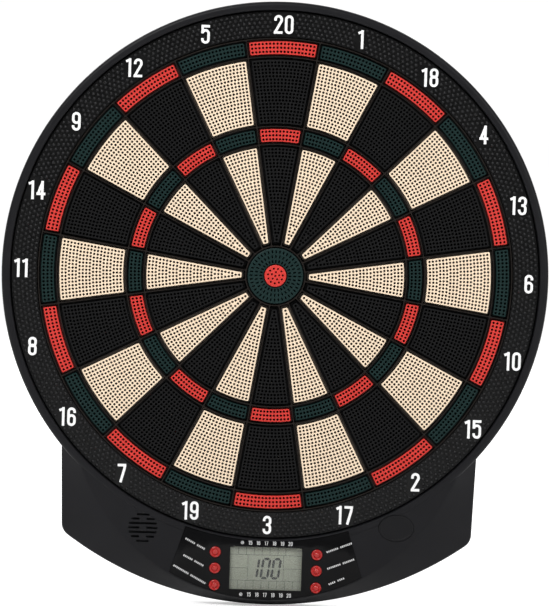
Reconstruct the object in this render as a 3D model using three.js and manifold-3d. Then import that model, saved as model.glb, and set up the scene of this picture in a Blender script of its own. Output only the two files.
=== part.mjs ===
// Electronic soft-tip dartboard with a control console below the target.
//
// Frame: millimetres, +X to the right, +Z up, the front faces -Y. The wall face is the plane y = 0 and the
// origin is on it, on the axis of the bull. A depth is a distance in front of the wall, so y = -depth.
import * as THREE from "three";
import { mergeVertices } from "three/addons/utils/BufferGeometryUtils.js";
import Module from "manifold-3d";

const wasm = await Module();
wasm.setup();

const DEGREE = Math.PI / 180;

// ---------------------------------------------------------------- driving dimensions

const GAP = 0.3;
const SECTORS = 20;
const SECTOR_ANGLE = 360 / SECTORS;
const HALF_SECTOR = SECTOR_ANGLE / 2;
const CIRCLE_STEPS = 60;

// Radii of the walls between the scoring rows.
const WEB = { bull: 25, tripleInner: 110.6, tripleOuter: 125.6, doubleInner: 183.7, doubleOuter: 199 };
const WEB_HALF_WALL = 0.45;
const INNER_BULL_RADIUS = 9.3;
const OUTER_BULL_BORE = 10;

// Outline of the housing.
const HOUSING_RADIUS = 230.2;
const CONSOLE = {
  halfWidthTop: 175.9,
  halfWidthBottom: 173.8,
  bottomArcRadius: 288,
  lowest: -280.3,
  cornerRadius: 12.5,
  hiddenTop: -147,
};
const CREASE = { radius: 169.6, centre: -105 };

// Depths in front of the wall.
const DEPTH = {
  coverPlate: 2.4,
  seam: 10,
  skirtEdge: 15,
  deck: 29,
  rimTop: 30,
  cavityRoof: 25.6,
  shelfBack: 21.2,
  shelfFront: 23.2,
  ringFace: 26,
  webBack: 19,
  webFront: 27.3,
  carrierBack: 17.3,
  carrierFront: 18.5,
  segmentShoulder: 24.8,
  segmentFace: 26.8,
};
const WALL = 2.5;
const SHELF_BORE = 200.4;
const RING_POCKET_RADIUS = 223.1;
const RING_RISER = 2.4;

// Console fittings, x and z of their centres.
const DISPLAY = { x: 0, z: -247.7, width: 60.8, height: 36.4 };
const BUTTON = { x: 42.9, rows: [-234.8, -248.5, -262.9], radius: 4.7, back: 24.1, top: 30.6 };
const BUTTON_EARS = { halfWidth: 5.8, thickness: 1, below: 1.6, above: 3.4 };
const SPEAKER = { x: -104.7, z: -216, grilleRadius: 12.7, radius: 13.6 };
const BADGE = { x: 109.1, z: -210, halfWidth: 15, halfHeight: 11.4 };
const PLATE = { topRadius: 224.4, topHalfWidth: 68.6, bottomHalfWidth: 81.3, bottomInset: 0.7 };
const BATTERY = { radius: 7.1, bodyHalf: 24, halfLength: 25, pitch: 15.4, depth: 9.7 };
const COMPARTMENT = { z: -242, halfWidth: 32, halfHeight: 24.5, wall: 1.6, roof: 17, front: 17.9 };
const DOOR = { halfWidth: 34, halfHeight: 26 };
const KEYHOLE = { x: 100, z: 120, radius: 5.5, slotRadius: 2.5, slotLength: 12 };

// Screws: six around the rim and two in the console's corners, as [x, z].
const RIM_SCREW_RADIUS = 217;
const RIM_SCREW_ANGLES = [22, 72, 122, -22, -72, -122];
const CONSOLE_SCREWS = [
  [146, -214],
  [-146, -214],
];
const SCREWS = [
  ...RIM_SCREW_ANGLES.map((angle) => polar(RIM_SCREW_RADIUS, angle)),
  ...CONSOLE_SCREWS,
];
const SCREW = { boss: 4.6, headRadius: 3, headBack: 1.8, headFront: 4, shank: 1.2, tip: 16.5 };

// Scores clockwise from the top.
const SCORES = [20, 1, 18, 4, 13, 6, 10, 15, 2, 17, 3, 19, 7, 16, 8, 11, 14, 9, 12, 5];

// ---------------------------------------------------------------- materials

function material(color, roughness, metalness = 0) {
  return () => new THREE.MeshStandardMaterial({ color, roughness, metalness });
}

const PAINT = {
  housing: material(0x2b2b2e, 0.5),
  ring: material(0x1f1f22, 0.7),
  web: material(0x1b1b1c, 0.6),
  segment: material(0x1a1a1b, 0.6),
  cream: material(0xf1dcc0, 0.6),
  red: material(0xd8382f, 0.5),
  green: material(0x15403c, 0.5),
  gloss: material(0x0b0b0c, 0.08),
  clear: material(0xd8ded2, 0.05),
  display: material(0x9ba18c, 0.3),
  button: material(0xcf2a2a, 0.3),
  rubber: material(0x303030, 0.9),
  membrane: material(0x8c97a0, 0.4),
  board: material(0x1f5a34, 0.6),
  steel: material(0xa8a8a8, 0.35, 1),
  cell: material(0x3a4a78, 0.4),
  hardboard: material(0x6b4f35, 0.8),
};

// ---------------------------------------------------------------- solids

// A point at a radius and an angle in degrees clockwise from the top, as [x, z].
function polar(radius, angle) {
  return [radius * Math.sin(angle * DEGREE), radius * Math.cos(angle * DEGREE)];
}

function solidFromGeometry(geometry) {
  const bare = geometry.clone();
  for (const name of Object.keys(bare.attributes)) {
    if (name !== "position") bare.deleteAttribute(name);
  }
  const merged = mergeVertices(bare, 1e-4);
  const solid = new wasm.Manifold(
    new wasm.Mesh({
      numProp: 3,
      vertProperties: new Float32Array(merged.attributes.position.array),
      triVerts: new Uint32Array(merged.index.array),
    }),
  );
  return solid;
}

function geometryFromSolid(solid) {
  const mesh = solid.getMesh();
  const geometry = new THREE.BufferGeometry();
  geometry.setAttribute("position", new THREE.BufferAttribute(new Float32Array(mesh.vertProperties), 3));
  geometry.setIndex(new THREE.BufferAttribute(new Uint32Array(mesh.triVerts), 1));
  geometry.computeVertexNormals();
  return geometry;
}

function union(first, ...others) {
  return others.reduce((sum, solid) => sum.add(solid), first);
}

function cut(first, ...others) {
  return others.reduce((rest, solid) => rest.subtract(solid), first);
}

// A shape drawn in x and z, extruded from one depth to a greater one.
function slab(shape, from, to, curveSegments = 12) {
  const settings = { depth: to - from, bevelEnabled: false, curveSegments };
  const geometry = new THREE.ExtrudeGeometry(shape, settings);
  geometry.rotateX(Math.PI / 2);
  geometry.translate(0, -from, 0);
  return solidFromGeometry(geometry);
}

// A profile of [radius, depth] points turned about an axis through x and z that runs from front to back.
// The profile starts and ends on the axis, or closes on itself.
function turned(profile, { x = 0, z = 0, steps = 32 } = {}) {
  const points = profile.map(([radius, depth]) => new THREE.Vector2(radius, depth));
  const geometry = new THREE.LatheGeometry(points, steps);
  geometry.rotateY(Math.PI / steps + Math.PI / 2);
  geometry.rotateX(Math.PI);
  geometry.translate(x, 0, z);
  const solid = solidFromGeometry(geometry);
  return solid.volume() > 0 ? solid : solidFromGeometry(flipped(geometry));
}

function flipped(geometry) {
  const turnedOver = geometry.clone();
  const index = turnedOver.index.array;
  for (let i = 0; i < index.length; i += 3) [index[i + 1], index[i + 2]] = [index[i + 2], index[i + 1]];
  return turnedOver;
}

function disc(radius, from, to, place = {}) {
  return turned([[0, from], [radius, from], [radius, to], [0, to]], place);
}

// A rectangular block between two x, two depths and two z.
function block([x0, x1], [from, to], [z0, z1]) {
  const geometry = new THREE.BoxGeometry(x1 - x0, to - from, z1 - z0);
  geometry.translate((x0 + x1) / 2, -(from + to) / 2, (z0 + z1) / 2);
  return solidFromGeometry(geometry);
}

// A closed body through rings of [x, z] points with equal counts, each ring at its own depth.
function loft(givenRings) {
  const plan = ({ points }) => points.map(([x, z]) => new THREE.Vector2(x, z));
  const clockwise = THREE.ShapeUtils.isClockWise(plan(givenRings[0]));
  const rings = givenRings.map(({ points, depth }) => ({
    points: clockwise ? [...points].reverse() : points,
    depth,
  }));
  const count = rings[0].points.length;
  const vertices = rings.flatMap(({ points, depth }) => points.flatMap(([x, z]) => [x, -depth, z]));
  const triangles = [];
  for (let ring = 0; ring + 1 < rings.length; ring += 1) {
    for (let i = 0; i < count; i += 1) {
      const next = (i + 1) % count;
      const [a, b] = [ring * count + i, ring * count + next];
      triangles.push(a, b, b + count, a, b + count, a + count);
    }
  }
  const last = (rings.length - 1) * count;
  for (const [a, b, c] of THREE.ShapeUtils.triangulateShape(plan(rings[0]), [])) triangles.push(a, c, b);
  for (const [a, b, c] of THREE.ShapeUtils.triangulateShape(plan(rings[rings.length - 1]), [])) {
    triangles.push(last + a, last + b, last + c);
  }
  const geometry = new THREE.BufferGeometry();
  geometry.setAttribute("position", new THREE.Float32BufferAttribute(vertices, 3));
  geometry.setIndex(triangles);
  const solid = solidFromGeometry(geometry);
  return solid.volume() > 0 ? solid : solidFromGeometry(flipped(geometry));
}

function rounded(x, z, halfWidth, halfHeight, radius) {
  const shape = new THREE.Shape();
  const [left, right, low, high] = [x - halfWidth, x + halfWidth, z - halfHeight, z + halfHeight];
  shape.moveTo(left + radius, low);
  shape.absarc(right - radius, low + radius, radius, -Math.PI / 2, 0);
  shape.absarc(right - radius, high - radius, radius, 0, Math.PI / 2);
  shape.absarc(left + radius, high - radius, radius, Math.PI / 2, Math.PI);
  shape.absarc(left + radius, low + radius, radius, Math.PI, 1.5 * Math.PI);
  return shape;
}

const root = new THREE.Group();

function addNode(name, paint, solid) {
  const mesh = new THREE.Mesh(geometryFromSolid(solid), paint());
  mesh.name = name;
  root.add(mesh);
}

// ---------------------------------------------------------------- outlines

// The +X half of the console's outline moved inwards by an inset, from the side wall's top to the middle of
// the bottom.
function consoleSide(inset) {
  const arcRadius = CONSOLE.bottomArcRadius - inset;
  const arcCentre = CONSOLE.lowest + CONSOLE.bottomArcRadius;
  const cornerRadius = CONSOLE.cornerRadius - inset;
  const side = CONSOLE.halfWidthBottom - inset;
  const cornerX = side - cornerRadius;
  const cornerZ = arcCentre - Math.sqrt((arcRadius - cornerRadius) ** 2 - cornerX ** 2);
  const arcStart = Math.atan2(cornerZ - arcCentre, cornerX);
  const points = [];
  const sideSteps = 4;
  for (let i = 0; i < sideSteps; i += 1) {
    const down = i / sideSteps;
    points.push([
      THREE.MathUtils.lerp(CONSOLE.halfWidthTop - inset, side, down),
      THREE.MathUtils.lerp(CONSOLE.hiddenTop + inset, cornerZ, down),
    ]);
  }
  const cornerSteps = 3;
  for (let i = 0; i <= cornerSteps; i += 1) {
    const angle = (arcStart * i) / cornerSteps;
    points.push([cornerX + cornerRadius * Math.cos(angle), cornerZ + cornerRadius * Math.sin(angle)]);
  }
  const arcSteps = 10;
  for (let i = 1; i <= arcSteps; i += 1) {
    const angle = arcStart + ((-Math.PI / 2 - arcStart) * i) / arcSteps;
    points.push([arcRadius * Math.cos(angle), arcCentre + arcRadius * Math.sin(angle)]);
  }
  return points;
}

function mirrored(side) {
  return [...side, ...side.slice(0, -1).reverse().map(([x, z]) => [-x, z])];
}

function consoleOutline(inset) {
  return mirrored(consoleSide(inset));
}

// The crease between the deck and the skirt: the console's outline drawn in to the crease circle.
function creaseOutline(inset) {
  return consoleOutline(inset).map(([x, z]) => {
    const reach = Math.hypot(x, z - CREASE.centre);
    const scale = (CREASE.radius - inset) / reach;
    return [x * scale, CREASE.centre + (z - CREASE.centre) * scale];
  });
}

function circleSlab(radius, from, to) {
  return disc(radius, from, to, { steps: CIRCLE_STEPS });
}

function shapeOf(points) {
  return new THREE.Shape(points.map(([x, z]) => new THREE.Vector2(x, z)));
}

// The whole board's outline, moved inwards, between two depths.
function boardSlab(inset, from, to) {
  return union(circleSlab(HOUSING_RADIUS - inset, from, to), slab(shapeOf(consoleOutline(inset)), from, to));
}

// ---------------------------------------------------------------- target

// Rows of segments in a sector: wall radii, inset of the face from the walls and points on the two arcs.
const ROWS = [
  { inner: WEB.bull, outer: WEB.tripleInner, bevel: 2.3, steps: [1, 2] },
  { inner: WEB.tripleInner, outer: WEB.tripleOuter, bevel: 1.4, steps: [2, 2] },
  { inner: WEB.tripleOuter, outer: WEB.doubleInner, bevel: 2.3, steps: [2, 3] },
  { inner: WEB.doubleInner, outer: WEB.doubleOuter, bevel: 1.4, steps: [3, 3] },
];

// The inner singles start a little further out, clear of the bull.
function tipGap(row) {
  return row.inner === WEB.bull ? 1.6 : 0;
}

// An annular patch between two radii, its straight sides parallel to the sector's edges at an inset.
function patch(centreAngle, inner, outer, inset, [innerSteps, outerSteps]) {
  const points = [];
  const arc = (radius, steps, direction) => {
    const half = HALF_SECTOR - Math.asin(inset / radius) / DEGREE;
    for (let i = 0; i <= steps; i += 1) {
      points.push(polar(radius, centreAngle + direction * half * ((2 * i) / steps - 1)));
    }
  };
  arc(inner, innerSteps, 1);
  arc(outer, outerSteps, -1);
  return points;
}

function patchCircle(radius, steps) {
  return Array.from({ length: steps }, (_, i) => polar(radius, (360 * (i + 0.5)) / steps));
}

function targetFrame() {
  const outline = new THREE.Shape();
  outline.absarc(0, 0, WEB.doubleOuter + WEB_HALF_WALL, 0, 2 * Math.PI);
  const web = WEB_HALF_WALL;
  for (let sector = 0; sector < SECTORS; sector += 1) {
    for (const row of ROWS) {
      const cell = patch(sector * SECTOR_ANGLE, row.inner + web, row.outer - web, web, row.steps);
      outline.holes.push(new THREE.Path(cell.map(([x, z]) => new THREE.Vector2(x, z))));
    }
  }
  const bull = patchCircle(WEB.bull - web, 24);
  outline.holes.push(new THREE.Path(bull.map(([x, z]) => new THREE.Vector2(x, z))));
  const walls = slab(outline, DEPTH.webBack, DEPTH.webFront, CIRCLE_STEPS / 2);
  const flangeRadius = 209;
  const flangeBore = WEB.doubleOuter - WEB_HALF_WALL;
  const flange = cut(
    circleSlab(flangeRadius, DEPTH.webBack, DEPTH.shelfBack - GAP),
    circleSlab(flangeBore, 0, DEPTH.rimTop),
  );
  return union(walls, flange);
}

// One sector: its four segments stand on a thin carrier behind the web.
function sectorBody(angle) {
  const carrierInset = 0.7;
  const carrierInner = 27.2;
  const carrierOuter = 198;
  const segmentInset = 1;
  const carrier = slab(
    shapeOf(patch(angle, carrierInner, carrierOuter, carrierInset, [1, 3])),
    DEPTH.carrierBack,
    DEPTH.carrierFront,
  );
  const segments = ROWS.map((row) => {
    const ring = (inset, depth) => ({
      points: patch(angle, row.inner + inset + tipGap(row), row.outer - inset, inset, row.steps),
      depth,
    });
    return loft([
      ring(segmentInset, DEPTH.carrierBack + 0.2),
      ring(segmentInset, DEPTH.segmentShoulder),
      ring(segmentInset + row.bevel, DEPTH.segmentFace),
    ]);
  });
  return union(carrier, ...segments);
}

function outerBull() {
  const counterbore = 11.9;
  const counterboreDepth = 20.2;
  const edge = WEB.bull - 1.1;
  return turned(
    [
      [OUTER_BULL_BORE, counterboreDepth],
      [counterbore, counterboreDepth],
      [counterbore, DEPTH.carrierBack],
      [WEB.bull + 1, DEPTH.carrierBack],
      [WEB.bull + 1, DEPTH.carrierFront],
      [edge, DEPTH.carrierFront],
      [edge, DEPTH.segmentShoulder],
      [edge - 1.4, DEPTH.segmentFace],
      [OUTER_BULL_BORE + 0.5, DEPTH.segmentFace],
      [OUTER_BULL_BORE, DEPTH.segmentFace - 0.8],
      [OUTER_BULL_BORE, counterboreDepth],
    ],
    { steps: 24 },
  );
}

function innerBull() {
  return turned(
    [
      [0, DEPTH.carrierBack],
      [11.2, DEPTH.carrierBack],
      [11.2, DEPTH.carrierFront],
      [INNER_BULL_RADIUS, DEPTH.carrierFront],
      [INNER_BULL_RADIUS, DEPTH.segmentFace - 0.7],
      [INNER_BULL_RADIUS - 0.8, DEPTH.segmentFace + 0.2],
      [0, DEPTH.segmentFace + 0.2],
    ],
    { steps: 20 },
  );
}

// ---------------------------------------------------------------- front housing

function faceplateShape(clearance) {
  const topRadius = PLATE.topRadius - clearance;
  const bottomRadius = CREASE.radius - PLATE.bottomInset + clearance;
  const [topX, bottomX] = [PLATE.topHalfWidth + clearance, PLATE.bottomHalfWidth + clearance];
  const points = [];
  const steps = 10;
  for (let i = 0; i <= steps; i += 1) {
    const x = topX * ((2 * i) / steps - 1);
    points.push([x, -Math.sqrt(topRadius ** 2 - x ** 2)]);
  }
  for (let i = 0; i <= steps; i += 1) {
    const x = bottomX * (1 - (2 * i) / steps);
    points.push([x, CREASE.centre - Math.sqrt(bottomRadius ** 2 - x ** 2)]);
  }
  return shapeOf(points);
}

const PLATE_FLOOR = 27.7;
const BUTTON_CLEARANCE = 0.3;
const buttonPlaces = BUTTON.rows.flatMap((z) => [-BUTTON.x, BUTTON.x].map((x) => ({ x, z })));

function buttonHoles(clearance) {
  return buttonPlaces.map(({ x, z }) => disc(BUTTON.radius + clearance, 20, 35, { x, z, steps: 16 }));
}

// Level slots across a round field: every other row is split by a rib in the middle.
function speakerSlots() {
  const pitch = 3.75;
  const slotHeight = 1.9;
  const ribHalfWidth = 2.9;
  const slots = [];
  for (let row = -3; row <= 3; row += 1) {
    const z = SPEAKER.z + row * pitch;
    const reach = Math.sqrt(SPEAKER.grilleRadius ** 2 - (row * pitch) ** 2) - 0.6;
    const spans = row % 2 === 0 ? [[-reach, -ribHalfWidth], [ribHalfWidth, reach]] : [[-reach, reach]];
    for (const [from, to] of spans) {
      const half = slotHeight / 2;
      slots.push(block([SPEAKER.x + from, SPEAKER.x + to], [20, 32], [z - half, z + half]));
    }
  }
  return slots;
}

function badgeShape(clearance) {
  const shape = new THREE.Shape();
  const [across, up] = [BADGE.halfWidth + clearance, BADGE.halfHeight + clearance];
  shape.absellipse(BADGE.x, BADGE.z, across, up, 0, 2 * Math.PI);
  return shape;
}

function frontHousing() {
  const seam = DEPTH.seam + GAP;
  const outer = HOUSING_RADIUS;
  const ring = turned(
    [
      [outer, seam],
      [outer, 26.4],
      [outer - 0.8, 28.6],
      [outer - 2.6, DEPTH.rimTop],
      [RING_POCKET_RADIUS + 1.4, DEPTH.rimTop],
      [RING_POCKET_RADIUS, 29],
      [RING_POCKET_RADIUS, DEPTH.shelfFront],
      [SHELF_BORE, DEPTH.shelfFront],
      [SHELF_BORE, DEPTH.shelfBack],
      [outer - WALL, DEPTH.shelfBack],
      [outer - WALL, seam],
      [outer, seam],
    ],
    { steps: CIRCLE_STEPS },
  );
  const console_ = loft([
    { points: consoleOutline(0), depth: seam },
    { points: consoleOutline(0), depth: DEPTH.skirtEdge },
    { points: creaseOutline(0), depth: DEPTH.deck },
  ]);
  const keptRing = circleSlab(RING_POCKET_RADIUS + RING_RISER, DEPTH.shelfBack, DEPTH.rimTop);
  const cavity = cut(
    loft([
      { points: consoleOutline(WALL), depth: seam - 1 },
      { points: consoleOutline(WALL), depth: DEPTH.skirtEdge - 1 },
      { points: creaseOutline(WALL), depth: DEPTH.cavityRoof },
    ]),
    keptRing,
  );
  const body = cut(
    union(ring, console_),
    cavity,
    circleSlab(SHELF_BORE, 0, 40),
    circleSlab(RING_POCKET_RADIUS, DEPTH.shelfFront, 40),
    slab(faceplateShape(GAP), PLATE_FLOOR, 40),
    slab(badgeShape(GAP), DEPTH.deck - 1.1, 40, 16),
    slab(rounded(DISPLAY.x, DISPLAY.z, 31.8, 19.5, 1), 20, 40, 2),
    ...buttonHoles(BUTTON_CLEARANCE),
    ...speakerSlots(),
  );
  const posts = SCREWS.map(([x, z]) => disc(SCREW.boss, seam, DEPTH.shelfBack + 0.4, { x, z, steps: 10 }));
  const pilots = SCREWS.map(([x, z]) => disc(SCREW.shank + GAP, 0, SCREW.tip + 0.6, { x, z, steps: 8 }));
  return cut(union(body, ...posts), ...pilots);
}

function numberRing() {
  const [bore, edge] = [WEB.doubleOuter + WEB_HALF_WALL + 0.6, RING_POCKET_RADIUS - 0.4];
  const back = DEPTH.shelfFront + GAP;
  return turned(
    [
      [bore, back],
      [bore, DEPTH.ringFace],
      [edge, DEPTH.ringFace],
      [edge, back],
      [bore, back],
    ],
    { steps: CIRCLE_STEPS },
  );
}

// ---------------------------------------------------------------- console pieces

const PLATE_FRONT = 29.2;

function faceplate() {
  return cut(
    slab(faceplateShape(0), PLATE_FLOOR + GAP, PLATE_FRONT),
    slab(rounded(DISPLAY.x, DISPLAY.z, DISPLAY.width / 2, DISPLAY.height / 2, 0.8), 20, 40, 2),
    ...buttonHoles(BUTTON_CLEARANCE),
  );
}

function displayWindow() {
  return slab(rounded(DISPLAY.x, DISPLAY.z, 31.4, 19.1, 0.8), 25.9, PLATE_FLOOR - 0.1, 2);
}

function displayGlass() {
  const face = slab(rounded(DISPLAY.x, DISPLAY.z, 33, 20.5, 0.5), 23, 24.4, 2);
  const front = slab(rounded(DISPLAY.x, DISPLAY.z + 1, 33, 19, 0.5), 24.3, 25.3, 2);
  return union(face, front);
}

function pushButton({ x, z }) {
  const { radius, top, back } = BUTTON;
  const size = BUTTON_EARS;
  const dome = [
    [radius, top - 2],
    [radius * 0.86, top - 0.9],
    [radius * 0.5, top - 0.2],
    [0, top],
  ];
  const cap = turned([[0, back], [radius, back], ...dome], { x, z, steps: 16 });
  const ears = block(
    [x - size.halfWidth, x + size.halfWidth],
    [back, back + size.thickness],
    [z - size.below, z + size.above],
  );
  return union(cap, ears);
}

function keypad(side) {
  const sheet = block(side > 0 ? [37, 49] : [-49, -37], [21.5, 22.4], [-266, -229]);
  const domes = BUTTON.rows.map((z) =>
    turned([[0, 22], [2.9, 22], [2.2, 22.9], [0, 23]], { x: side * BUTTON.x, z, steps: 10 }),
  );
  return union(sheet, ...domes);
}

function mainBoard() {
  const board = block([-51, 51], [19.6, 21.2], [-265.4, -220]);
  const chip = block([-8, 8], [21, 22.6], [-260, -246]);
  return union(board, chip);
}

function contactStrip() {
  return block([-28, 28], [21.5, 22.7], [-232.6, -229.6]);
}

// A flat tail that leaves the membrane's plane, passes the shelf and ends behind the circuit board.
function membraneTail() {
  const thickness = 0.5;
  const [left, right] = [39, 50];
  const path = [[-198, 12.6], [-211, 12.6], [-222, 18.7], [-232, 18.7]];
  const outline = [...path, ...[...path].reverse().map(([z, depth]) => [z, depth + thickness])];
  const shape = new THREE.Shape(outline.map(([z, depth]) => new THREE.Vector2(z, depth)));
  const geometry = new THREE.ExtrudeGeometry(shape, { depth: right - left, bevelEnabled: false });
  const axes = new THREE.Matrix4().makeBasis(
    new THREE.Vector3(0, 0, 1),
    new THREE.Vector3(0, -1, 0),
    new THREE.Vector3(1, 0, 0),
  );
  geometry.applyMatrix4(axes);
  geometry.translate(left, 0, 0);
  const solid = solidFromGeometry(geometry);
  return solid.volume() > 0 ? solid : solidFromGeometry(flipped(geometry));
}

function speaker() {
  const { x, z, radius } = SPEAKER;
  const magnet = [
    [0, 13],
    [8, 13],
    [8, 18],
  ];
  const basket = [
    [12.6, 21.6],
    [radius, 22.6],
    [radius, 25.1],
    [12.2, 25.1],
  ];
  const cone = [
    [6, 23],
    [0, 23],
  ];
  return turned([...magnet, ...basket, ...cone], { x, z, steps: 20 });
}

function badge() {
  return slab(badgeShape(0), DEPTH.deck - 0.8, DEPTH.deck + 0.1, 16);
}

// ---------------------------------------------------------------- back of the board

function keyhole(side) {
  const { x, z, radius, slotRadius, slotLength } = KEYHOLE;
  const [from, to] = [-1, DEPTH.coverPlate + 1];
  return union(
    disc(radius, from, to, { x: side * x, z, steps: 24 }),
    disc(slotRadius, from, to, { x: side * x, z: z + slotLength, steps: 16 }),
    block([side * x - slotRadius, side * x + slotRadius], [from, to], [z, z + slotLength]),
  );
}

function rearCover() {
  const inset = 1;
  const inside = boardSlab(inset + WALL, DEPTH.coverPlate, DEPTH.seam + 1);
  const tray = cut(boardSlab(inset, 0, DEPTH.seam), inside);
  const ribTop = 8.7;
  const place = { steps: 36 };
  const ribs = [80, 170].map((radius) =>
    cut(disc(radius + 2, 2, ribTop, place), disc(radius, 1, DEPTH.seam, place)),
  );
  const { z, halfWidth, halfHeight, wall, roof, front } = COMPARTMENT;
  const ledge = { halfWidth: DOOR.halfWidth + 2, halfHeight: DOOR.halfHeight + 2 };
  const box = union(
    block([-ledge.halfWidth, ledge.halfWidth], [2, 4], [z - ledge.halfHeight, z + ledge.halfHeight]),
    block(
      [-halfWidth - wall, halfWidth + wall],
      [2, front],
      [z - halfHeight - wall, z + halfHeight + wall],
    ),
  );
  const hollow = block([-halfWidth, halfWidth], [-1, roof], [z - halfHeight, z + halfHeight]);
  const doorway = block(
    [-DOOR.halfWidth, DOOR.halfWidth],
    [-1, DEPTH.coverPlate],
    [z - DOOR.halfHeight, z + DOOR.halfHeight],
  );
  const bosses = SCREWS.map(([x, sz]) => disc(SCREW.boss, 1, DEPTH.seam, { x, z: sz, steps: 10 }));
  const shanks = SCREWS.map(([x, sz]) => disc(SCREW.shank + GAP, -1, 20, { x, z: sz, steps: 8 }));
  const heads = SCREWS.map(([x, sz]) => {
    return disc(SCREW.headRadius + GAP, -1, SCREW.headFront + GAP, { x, z: sz, steps: 12 });
  });
  return cut(
    union(tray, ...ribs, box, ...bosses),
    hollow,
    doorway,
    keyhole(-1),
    keyhole(1),
    ...shanks,
    ...heads,
  );
}

// The door's panel with a finger dish near its lower edge.
function batteryDoor() {
  const { z } = COMPARTMENT;
  const outline = rounded(0, z, DOOR.halfWidth - GAP, DOOR.halfHeight - GAP, 1);
  const panel = slab(outline, 0, DEPTH.coverPlate - GAP, 2);
  const dish = block([-8, 8], [-1, 0.8], [z - 22, z - 18]);
  return cut(panel, dish);
}

function cell(index) {
  const geometryProfile = [
    [0, -BATTERY.halfLength],
    [BATTERY.radius, -BATTERY.halfLength],
    [BATTERY.radius, BATTERY.bodyHalf],
    [2.7, BATTERY.bodyHalf],
    [2.7, BATTERY.halfLength],
    [0, BATTERY.halfLength],
  ].map(([radius, along]) => new THREE.Vector2(radius, along));
  const geometry = new THREE.LatheGeometry(geometryProfile, 14);
  geometry.rotateZ(index % 2 === 0 ? Math.PI / 2 : -Math.PI / 2);
  geometry.translate(0, -BATTERY.depth, COMPARTMENT.z + (1 - index) * BATTERY.pitch);
  return solidFromGeometry(geometry);
}

function contactPlate(side) {
  const plate = block(side > 0 ? [30.6, 31.4] : [-31.4, -30.6], [5, 15], [-263, -221]);
  const springs = [0, 1, 2].map((index) => {
    const length = 5.2;
    const inner = side * (30.7 - length);
    const outer = side * 30.8;
    const z = COMPARTMENT.z + (1 - index) * BATTERY.pitch;
    return block([Math.min(inner, outer), Math.max(inner, outer)], [8, 12], [z - 2, z + 2]);
  });
  return union(plate, ...springs);
}

function screw([x, z]) {
  return turned(
    [
      [0, 2.6],
      [1, SCREW.headBack],
      [SCREW.headRadius, SCREW.headBack + 0.4],
      [SCREW.headRadius, SCREW.headFront],
      [SCREW.shank, SCREW.headFront],
      [SCREW.shank, SCREW.tip - 1.5],
      [0, SCREW.tip],
    ],
    { x, z, steps: 8 },
  );
}

// ---------------------------------------------------------------- assembly

addNode("front_housing", PAINT.housing, frontHousing());
addNode("number_ring", PAINT.ring, numberRing());
addNode("target_frame", PAINT.web, targetFrame());
SCORES.forEach((score, index) => {
  addNode(`sector_${score}`, index % 2 ? PAINT.cream : PAINT.segment, sectorBody(index * SECTOR_ANGLE));
});
addNode("bull_outer", PAINT.green, outerBull());
addNode("bull_inner", PAINT.red, innerBull());
addNode("damper_sheet", PAINT.rubber, circleSlab(200, 13.4, 15.7));
addNode("switch_matrix", PAINT.membrane, circleSlab(200, 12.6, 13.1));
addNode("backing_plate", PAINT.hardboard, circleSlab(204, 9, 12.3));
addNode("membrane_tail", PAINT.membrane, membraneTail());
addNode("faceplate", PAINT.gloss, faceplate());
addNode("display_window", PAINT.clear, displayWindow());
addNode("display_glass", PAINT.display, displayGlass());
addNode("display_contact_strip", PAINT.rubber, contactStrip());
buttonPlaces.forEach((place) => {
  const row = ["top", "middle", "bottom"][BUTTON.rows.indexOf(place.z)];
  addNode(`button_${place.x < 0 ? "left" : "right"}_${row}`, PAINT.button, pushButton(place));
});
addNode("keypad_left", PAINT.rubber, keypad(-1));
addNode("keypad_right", PAINT.rubber, keypad(1));
addNode("main_board", PAINT.board, mainBoard());
addNode("speaker", PAINT.segment, speaker());
addNode("badge_blank", PAINT.housing, badge());
addNode("rear_cover", PAINT.housing, rearCover());
addNode("battery_door", PAINT.housing, batteryDoor());
for (const index of [0, 1, 2]) addNode(`battery_cell_${index + 1}`, PAINT.cell, cell(index));
addNode("battery_contact_left", PAINT.steel, contactPlate(-1));
addNode("battery_contact_right", PAINT.steel, contactPlate(1));
SCREWS.forEach((place, index) => addNode(`cover_screw_${index + 1}`, PAINT.steel, screw(place)));

export default root;
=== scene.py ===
"""Looks of an electronic dartboard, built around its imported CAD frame.

Lengths are millimetres until a mesh is made, except in the studio, which is in metres. The board faces -Y,
+Z is up and the bull's axis is x = z = 0. A depth is a distance in front of the wall face, so y = -depth.
Loops run anticlockwise as seen from the front.
"""

import math

import bpy
from mathutils import Matrix, Vector
from mathutils.geometry import delaunay_2d_cdt


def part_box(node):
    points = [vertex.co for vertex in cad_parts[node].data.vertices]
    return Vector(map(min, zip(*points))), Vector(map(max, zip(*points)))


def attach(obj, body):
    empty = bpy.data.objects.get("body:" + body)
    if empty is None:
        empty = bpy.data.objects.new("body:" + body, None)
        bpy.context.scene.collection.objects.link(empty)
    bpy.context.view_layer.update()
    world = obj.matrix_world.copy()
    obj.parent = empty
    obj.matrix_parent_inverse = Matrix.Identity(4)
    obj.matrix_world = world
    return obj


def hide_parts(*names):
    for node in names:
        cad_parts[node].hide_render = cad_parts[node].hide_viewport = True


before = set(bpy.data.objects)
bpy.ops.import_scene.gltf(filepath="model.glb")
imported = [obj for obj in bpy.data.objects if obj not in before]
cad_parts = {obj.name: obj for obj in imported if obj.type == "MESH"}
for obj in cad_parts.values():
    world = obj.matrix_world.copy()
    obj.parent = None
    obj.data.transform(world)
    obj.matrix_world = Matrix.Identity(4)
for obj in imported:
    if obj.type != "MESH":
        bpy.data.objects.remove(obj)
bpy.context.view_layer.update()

MM = 0.001
SCORES = [20, 1, 18, 4, 13, 6, 10, 15, 2, 17, 3, 19, 7, 16, 8, 11, 14, 9, 12, 5]
SECTOR_ANGLE = 360 / len(SCORES)
HALF_SECTOR = math.radians(SECTOR_ANGLE / 2)
ROUND_STEPS = 240
BOARD = "board"


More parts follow.
